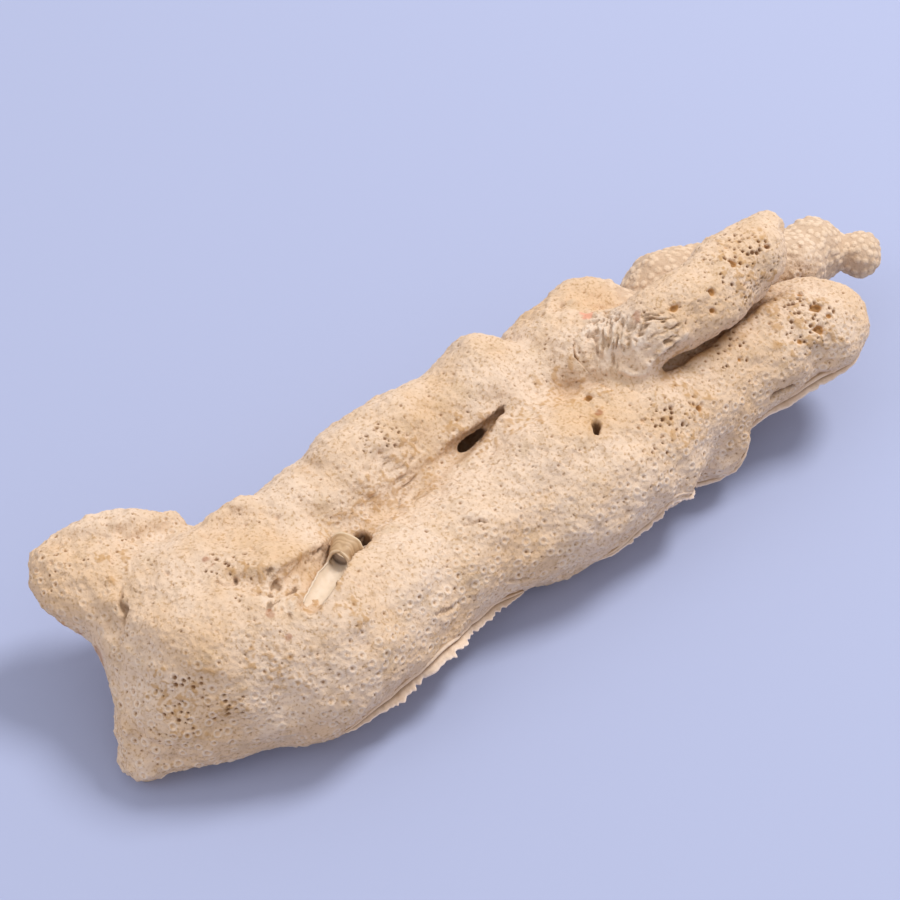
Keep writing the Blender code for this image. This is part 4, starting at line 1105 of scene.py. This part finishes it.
def worn_aragonite(colours):
    """Aragonite coral skeleton, worn by the surf and bleached in the sun: matt and chalky, warm cream, with
    ochre in its borings and ochre and pink stains from algae and sponges. Painted shade darkens its hollows,
    wells, pores, holes, cracks and the ground between its beads, and painted highlight lightens its raised
    rings, lips and threads."""
    layers = (
        (24.0, 0.36, 0.66, 0.0, 1.0, tuple(colours.warm)),
        (7.0, 0.5, 0.74, 0.0, 0.45, linear("#CBAD88")),
        (2.2, 0.5, 0.72, 0.0, 0.5, linear("#BE9E7B")),
        (0.9, 0.5, 0.68, 0.0, 0.65, linear("#AE8451")),
        ("beaded", 0.0, 1.0, 0.0, 0.5, linear("#E6CDB2")),
        # Painted shade between the beads.
        ("shade_between_beads", 0.0, 1.0, 0.0, 0.4, linear("#B08D6E")),
        ("ochre", 0.0, 1.0, 0.0, 0.6, tuple(colours.stain)),
        # Painted shade in hollows and crevices.
        ("deep", 0.2, 1.2, 0.0, 0.75, linear("#A0764A")),
        # Painted highlight on raised rings, lips and thread crests.
        ("pale", 0.0, 1.0, 0.0, 0.6, linear("#F2E2D2")),
        # Painted shade in cup wells and pores.
        ("pit", 0.05, 0.9, 0.0, 0.8, linear("#8C5F33")),
        ("bored", 0.1, 0.6, 0.0, 0.85, linear("#B47C36")),
        # Painted shade at the bottom of the bored pits; the layer above is their ochre stain.
        ("bored", 0.6, 1.0, 0.0, 0.45, tuple(colours.well)),
        # Painted shade in deep holes, sunk cracks and thread gaps.
        ("dark", 0.1, 1.0, 0.0, 0.85, linear("#6E4B2B")),
        ("rust", 0.1, 1.0, 0.0, 0.6, linear("#9A5630")),
        ("pink", 0.0, 1.0, 0.0, 0.7, linear("#E39275")),
    )
    # The ends of the skeleton's threads, about 0.2 mm wide, are drawn as grain of 0.5 and 0.9 mm, as finer
    # grain doesn't show.
    grain = ((0.9, 0.24), (0.5, 0.2))
    return painted_material("worn_aragonite", tuple(colours.pale), layers, grain, 0.88, 1.5)


def crust_aragonite(colours):
    """Thin crust of coralline algae and shell over the skeleton's edge: paler and smoother than the coral,
    with painted shade in brown in the groove behind its blade, and a faintly pink edge."""
    layers = (
        (1.4, 0.45, 0.75, 0.0, 0.5, linear("#C6AB92")),
        (5.0, 0.5, 0.72, 0.0, 0.5, linear("#C8A688")),
        # Painted shade: brown in the groove behind the blade, where growth is low.
        ("growth", 0.5, 0.0, 0.0, 0.8, linear("#98754F")),
        ("growth", 0.7, 1.0, 0.0, 0.7, linear("#EFDACB")),
    )
    return painted_material("crust_aragonite", tuple(colours.pale), layers, ((0.8, 0.2),), 0.75, 1.5)


def shell_lining():
    """Lining that a boring clam or worm laid down: dense and smooth, near white in the trough and tan with
    brown growth lines on what is left of its roof. Painted shadow darkens its inner face under the roof
    and deep in the tube, and a painted highlight runs along the mouth's and the arch's edges."""
    layers = (
        (3.0, 0.45, 0.75, 0.0, 0.5, linear("#DCC6A6")),
        ("roof", 0.0, 1.0, 0.0, 0.85, linear("#BE996C")),
        ("rings", 0.3, 1.0, 0.0, 0.35, linear("#8A6238")),
        # Painted shadow inside the tube and under the roof.
        ("inside", 0.0, 1.0, 0.0, 0.9, linear("#5A3F27")),
        # Painted highlight along the lining's mouth and arch edge.
        ("rim", 0.2, 0.9, 0.0, 0.7, linear("#E8D3B4")),
    )
    return painted_material("shell_lining", linear("#E6D2BA"), layers, ((1.4, 0.15),), 0.55, 1.5)


def paint_range(name, text, default):
    """A colour setting whose default is an sRGB hex colour."""
    return bpy.props.FloatVectorProperty(name=name, description=text, subtype="COLOR", size=4, min=0.0,
                                         max=1.0, default=linear(default))


def length_range(name, text, default, least, most):
    """A length setting, given in millimetres."""
    return bpy.props.FloatProperty(name=name, description=text, default=default * MM, min=least * MM,
                                   max=most * MM, unit="LENGTH")


class CoralSizes(bpy.types.PropertyGroup):
    """Sizes of the relief."""
    grid_step: length_range("Grid step", "Distance between the surface's grid lines", 0.32, 0.2, 3)
    cup_spacing: length_range("Cup spacing", "Distance between the cups' centres", 3.4, 2, 12)
    cup_radius: length_range("Cup radius", "Radius of a cup's rim", 0.92, 0.3, 5)
    cup_rim: length_range("Cup rim", "Height of a cup's rim where it isn't worn", 0.22, 0, 2)
    cup_depth: length_range("Cup depth", "Depth of a cup's well", 0.2, 0, 3)
    bead_height: length_range("Bead height", "Height of the beads on the rear arm", 0.4, 0, 3)


class CoralColours(bpy.types.PropertyGroup):
    """Colours of the skeleton."""
    pale: paint_range("Pale", "Colour of the bleached skeleton", "#E5CBB2")
    warm: paint_range("Warm", "Colour of its warmer patches", "#DDBB97")
    stain: paint_range("Stain", "Colour of the ochre stains", "#B98A4E")
    # well: painted shade, the darkest colour at the bottom of the bored pits.
    well: paint_range("Well", "Colour at the bottom of cups and borings", "#74522F")


class StageSettings(bpy.types.PropertyGroup):
    """The floor and the lights."""
    floor: paint_range("Floor", "Colour of the plain floor", "#A7AFCF")
    light: bpy.props.FloatProperty(
        name="Main light", description="Strength of the main soft light", default=30.0, min=0.0, max=500.0,
        unit="POWER")
    fill: bpy.props.FloatProperty(
        name="Fill light", description="Strength of the light from all round", default=0.74, min=0.0, max=5.0)


MADE = {}


def made(key, maker, *settings):
    """A material or the scattered detail, made on first use."""
    if key not in MADE:
        MADE[key] = maker(*settings)
    return MADE[key]


def place_piece(context, name, mesh, material, slot, *nodes):
    """Links a finished mesh as a piece that rides on the body and stands for its nodes."""
    piece = bpy.data.objects.new(name, mesh)
    mesh.materials.append(material)
    context.scene.collection.objects.link(piece)
    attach(piece, BODY)
    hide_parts(*nodes)
    return piece


def make_branch(context, branch, material, slot):
    """Makes one branch of the coral from its grid and its relief."""
    detail = made("detail", Detail, context.scene.coral_sizes)
    points, normals, shade, depth = branch_grid(branch, context.scene.coral_sizes.grid_step / MM)
    points, marks = relief(detail, branch, points, normals, shade, depth)
    mesh = grid_mesh(branch, points, marks)
    place_piece(context, branch + "_surface", mesh, material, slot, branch)


class CORAL_OT_worn_branches(bpy.types.Operator):
    """Make the worn branches, from the trunk to the finger and the rear arm"""
    bl_idname = "coral.worn_branches"
    bl_label = "Worn Branches"

    def execute(self, context):
        material = made("worn", worn_aragonite, context.scene.coral_colours)
        for branch in WORN:
            make_branch(context, branch, material, "worn_skeleton")
        return {"FINISHED"}


class CORAL_OT_beaded_knobs(bpy.types.Operator):
    """Make the two beaded knobs at the end of the rear arm"""
    bl_idname = "coral.beaded_knobs"
    bl_label = "Beaded Knobs"

    def execute(self, context):
        material = made("worn", worn_aragonite, context.scene.coral_colours)
        for branch in BEADED:
            make_branch(context, branch, material, "beaded_skeleton")
        return {"FINISHED"}


def aimed(name, data, place, target):
    """Links a camera or light at a place, looking at the target."""
    obj = bpy.data.objects.new(name, data)
    obj.location = place
    obj.rotation_mode = "QUATERNION"
    obj.rotation_quaternion = (Vector(place) - Vector(target)).to_track_quat("Z", "Y")
    bpy.context.scene.collection.objects.link(obj)
    return obj


class CORAL_OT_edge_crusts(bpy.types.Operator):
    """Make the three thin crusts along the foot of the front side"""
    bl_idname = "coral.edge_crusts"
    bl_label = "Edge Crusts"

    def execute(self, context):
        material = made("crust", crust_aragonite, context.scene.coral_colours)
        for crust, (reach, tooth, sawn, route) in CRUSTS.items():
            loop, marks = crust_grid(reach, tooth, sawn, route)
            mesh = grid_mesh(crust, loop, marks, folded=True)
            place_piece(context, crust + "_surface", mesh, material, "thin_crust", crust)
        return {"FINISHED"}


class CORAL_OT_burrow_lining(bpy.types.Operator):
    """Make the lining of the old burrow in the crevice"""
    bl_idname = "coral.burrow_lining"
    bl_label = "Burrow Lining"

    def execute(self, context):
        material = made("lining", shell_lining)
        loop, marks = lining_grid()
        mesh = grid_mesh("burrow_lining", loop, marks, folded=True)
        place_piece(context, "burrow_lining_surface", mesh, material, "burrow_lining", "burrow_lining")
        return {"FINISHED"}


# The camera, in the growth frame: the point that it looks at, and its direction and distance from there.
AIM = (9.5, 16.4, 20.0)
AZIMUTH, ELEVATION, DISTANCE = -30.0, 48.0, 720.0
LENS, SENSOR = 102.24, 36.0
# Half the floor's side, and each round lamp's name, place and diameter, in metres, and share of the light.
FLOOR_REACH = 3.0
LAMPS = (("main_light", (1.15, 0.25, 1.75), 0.7, 1.0), ("side_light", (-1.6, 0.3, 1.4), 1.2, 0.15))
LAMPS_AIM = (0.0, 0.0, 0.02)


class CORAL_OT_stage(bpy.types.Operator):
    """Make the plain floor, the soft lights and the camera"""
    bl_idname = "coral.stage"
    bl_label = "Stage"

    def execute(self, context):
        settings = context.scene.coral_stage
        mesh = bpy.data.meshes.new("floor")
        signs = ((-1, -1), (1, -1), (1, 1), (-1, 1))
        mesh.from_pydata([(x * FLOOR_REACH, y * FLOOR_REACH, 0) for x, y in signs], [], [(0, 1, 2, 3)])
        floor = bpy.data.objects.new("floor", mesh)
        material = bpy.data.materials.new("painted_board")
        material.use_nodes = True
        shader = material.node_tree.nodes["Principled BSDF"]
        shader.inputs["Base Color"].default_value = tuple(settings.floor)
        shader.inputs["Roughness"].default_value = 0.7
        mesh.materials.append(material)
        context.scene.collection.objects.link(floor)
        world = bpy.data.worlds.new("soft_room")
        world.use_nodes = True
        world.node_tree.nodes["Background"].inputs[0].default_value = linear("#F5F3F6")
        world.node_tree.nodes["Background"].inputs[1].default_value = settings.fill
        context.scene.world = world
        for name, place, size, share in LAMPS:
            lamp = bpy.data.lights.new(name, "AREA")
            lamp.shape = "DISK"
            lamp.size = size
            lamp.energy = settings.light * share
            aimed(name, lamp, place, LAMPS_AIM)
        camera = bpy.data.cameras.new("camera")
        camera.sensor_width, camera.lens = SENSOR, LENS
        a, e = math.radians(AZIMUTH), math.radians(ELEVATION)
        back = Vector((math.sin(a) * math.cos(e), -math.cos(a) * math.cos(e), math.sin(e)))
        target = (Vector(AIM) - Vector(ORIGIN)) * MM
        context.scene.camera = aimed("camera", camera, target + back * DISTANCE * MM, target)
        context.scene.view_settings.view_transform = "Standard"
        return {"FINISHED"}


OPERATORS = (CORAL_OT_worn_branches, CORAL_OT_beaded_knobs, CORAL_OT_edge_crusts, CORAL_OT_burrow_lining,
             CORAL_OT_stage)


class CORAL_PT_panel(bpy.types.Panel):
    """Sizes, colours and the steps that make the coral"""
    bl_label = "Coral Skeleton"
    bl_idname = "CORAL_PT_panel"
    bl_space_type = "VIEW_3D"
    bl_region_type = "UI"
    bl_category = "Coral"

    def draw(self, context):
        for group in (context.scene.coral_sizes, context.scene.coral_colours, context.scene.coral_stage):
            box = self.layout.box()
            for name in group.__annotations__:
                box.prop(group, name)
        for operator in OPERATORS:
            self.layout.operator(operator.bl_idname)


GROUPS = {"coral_sizes": CoralSizes, "coral_colours": CoralColours, "coral_stage": StageSettings}


def register():
    """Registers the settings, the operators and the panel."""
    for cls in (*GROUPS.values(), *OPERATORS, CORAL_PT_panel):
        bpy.utils.register_class(cls)
    for name, cls in GROUPS.items():
        setattr(bpy.types.Scene, name, bpy.props.PointerProperty(type=cls))


def unregister():
    """Takes away all that register added."""
    for name in GROUPS:
        delattr(bpy.types.Scene, name)
    for cls in (*GROUPS.values(), *OPERATORS, CORAL_PT_panel):
        bpy.utils.unregister_class(cls)


def main():
    """Makes every piece in order."""
    register()
    bpy.ops.coral.worn_branches()
    bpy.ops.coral.beaded_knobs()
    bpy.ops.coral.edge_crusts()
    bpy.ops.coral.burrow_lining()
    bpy.ops.coral.stage()


if __name__ == "__main__":
    main()
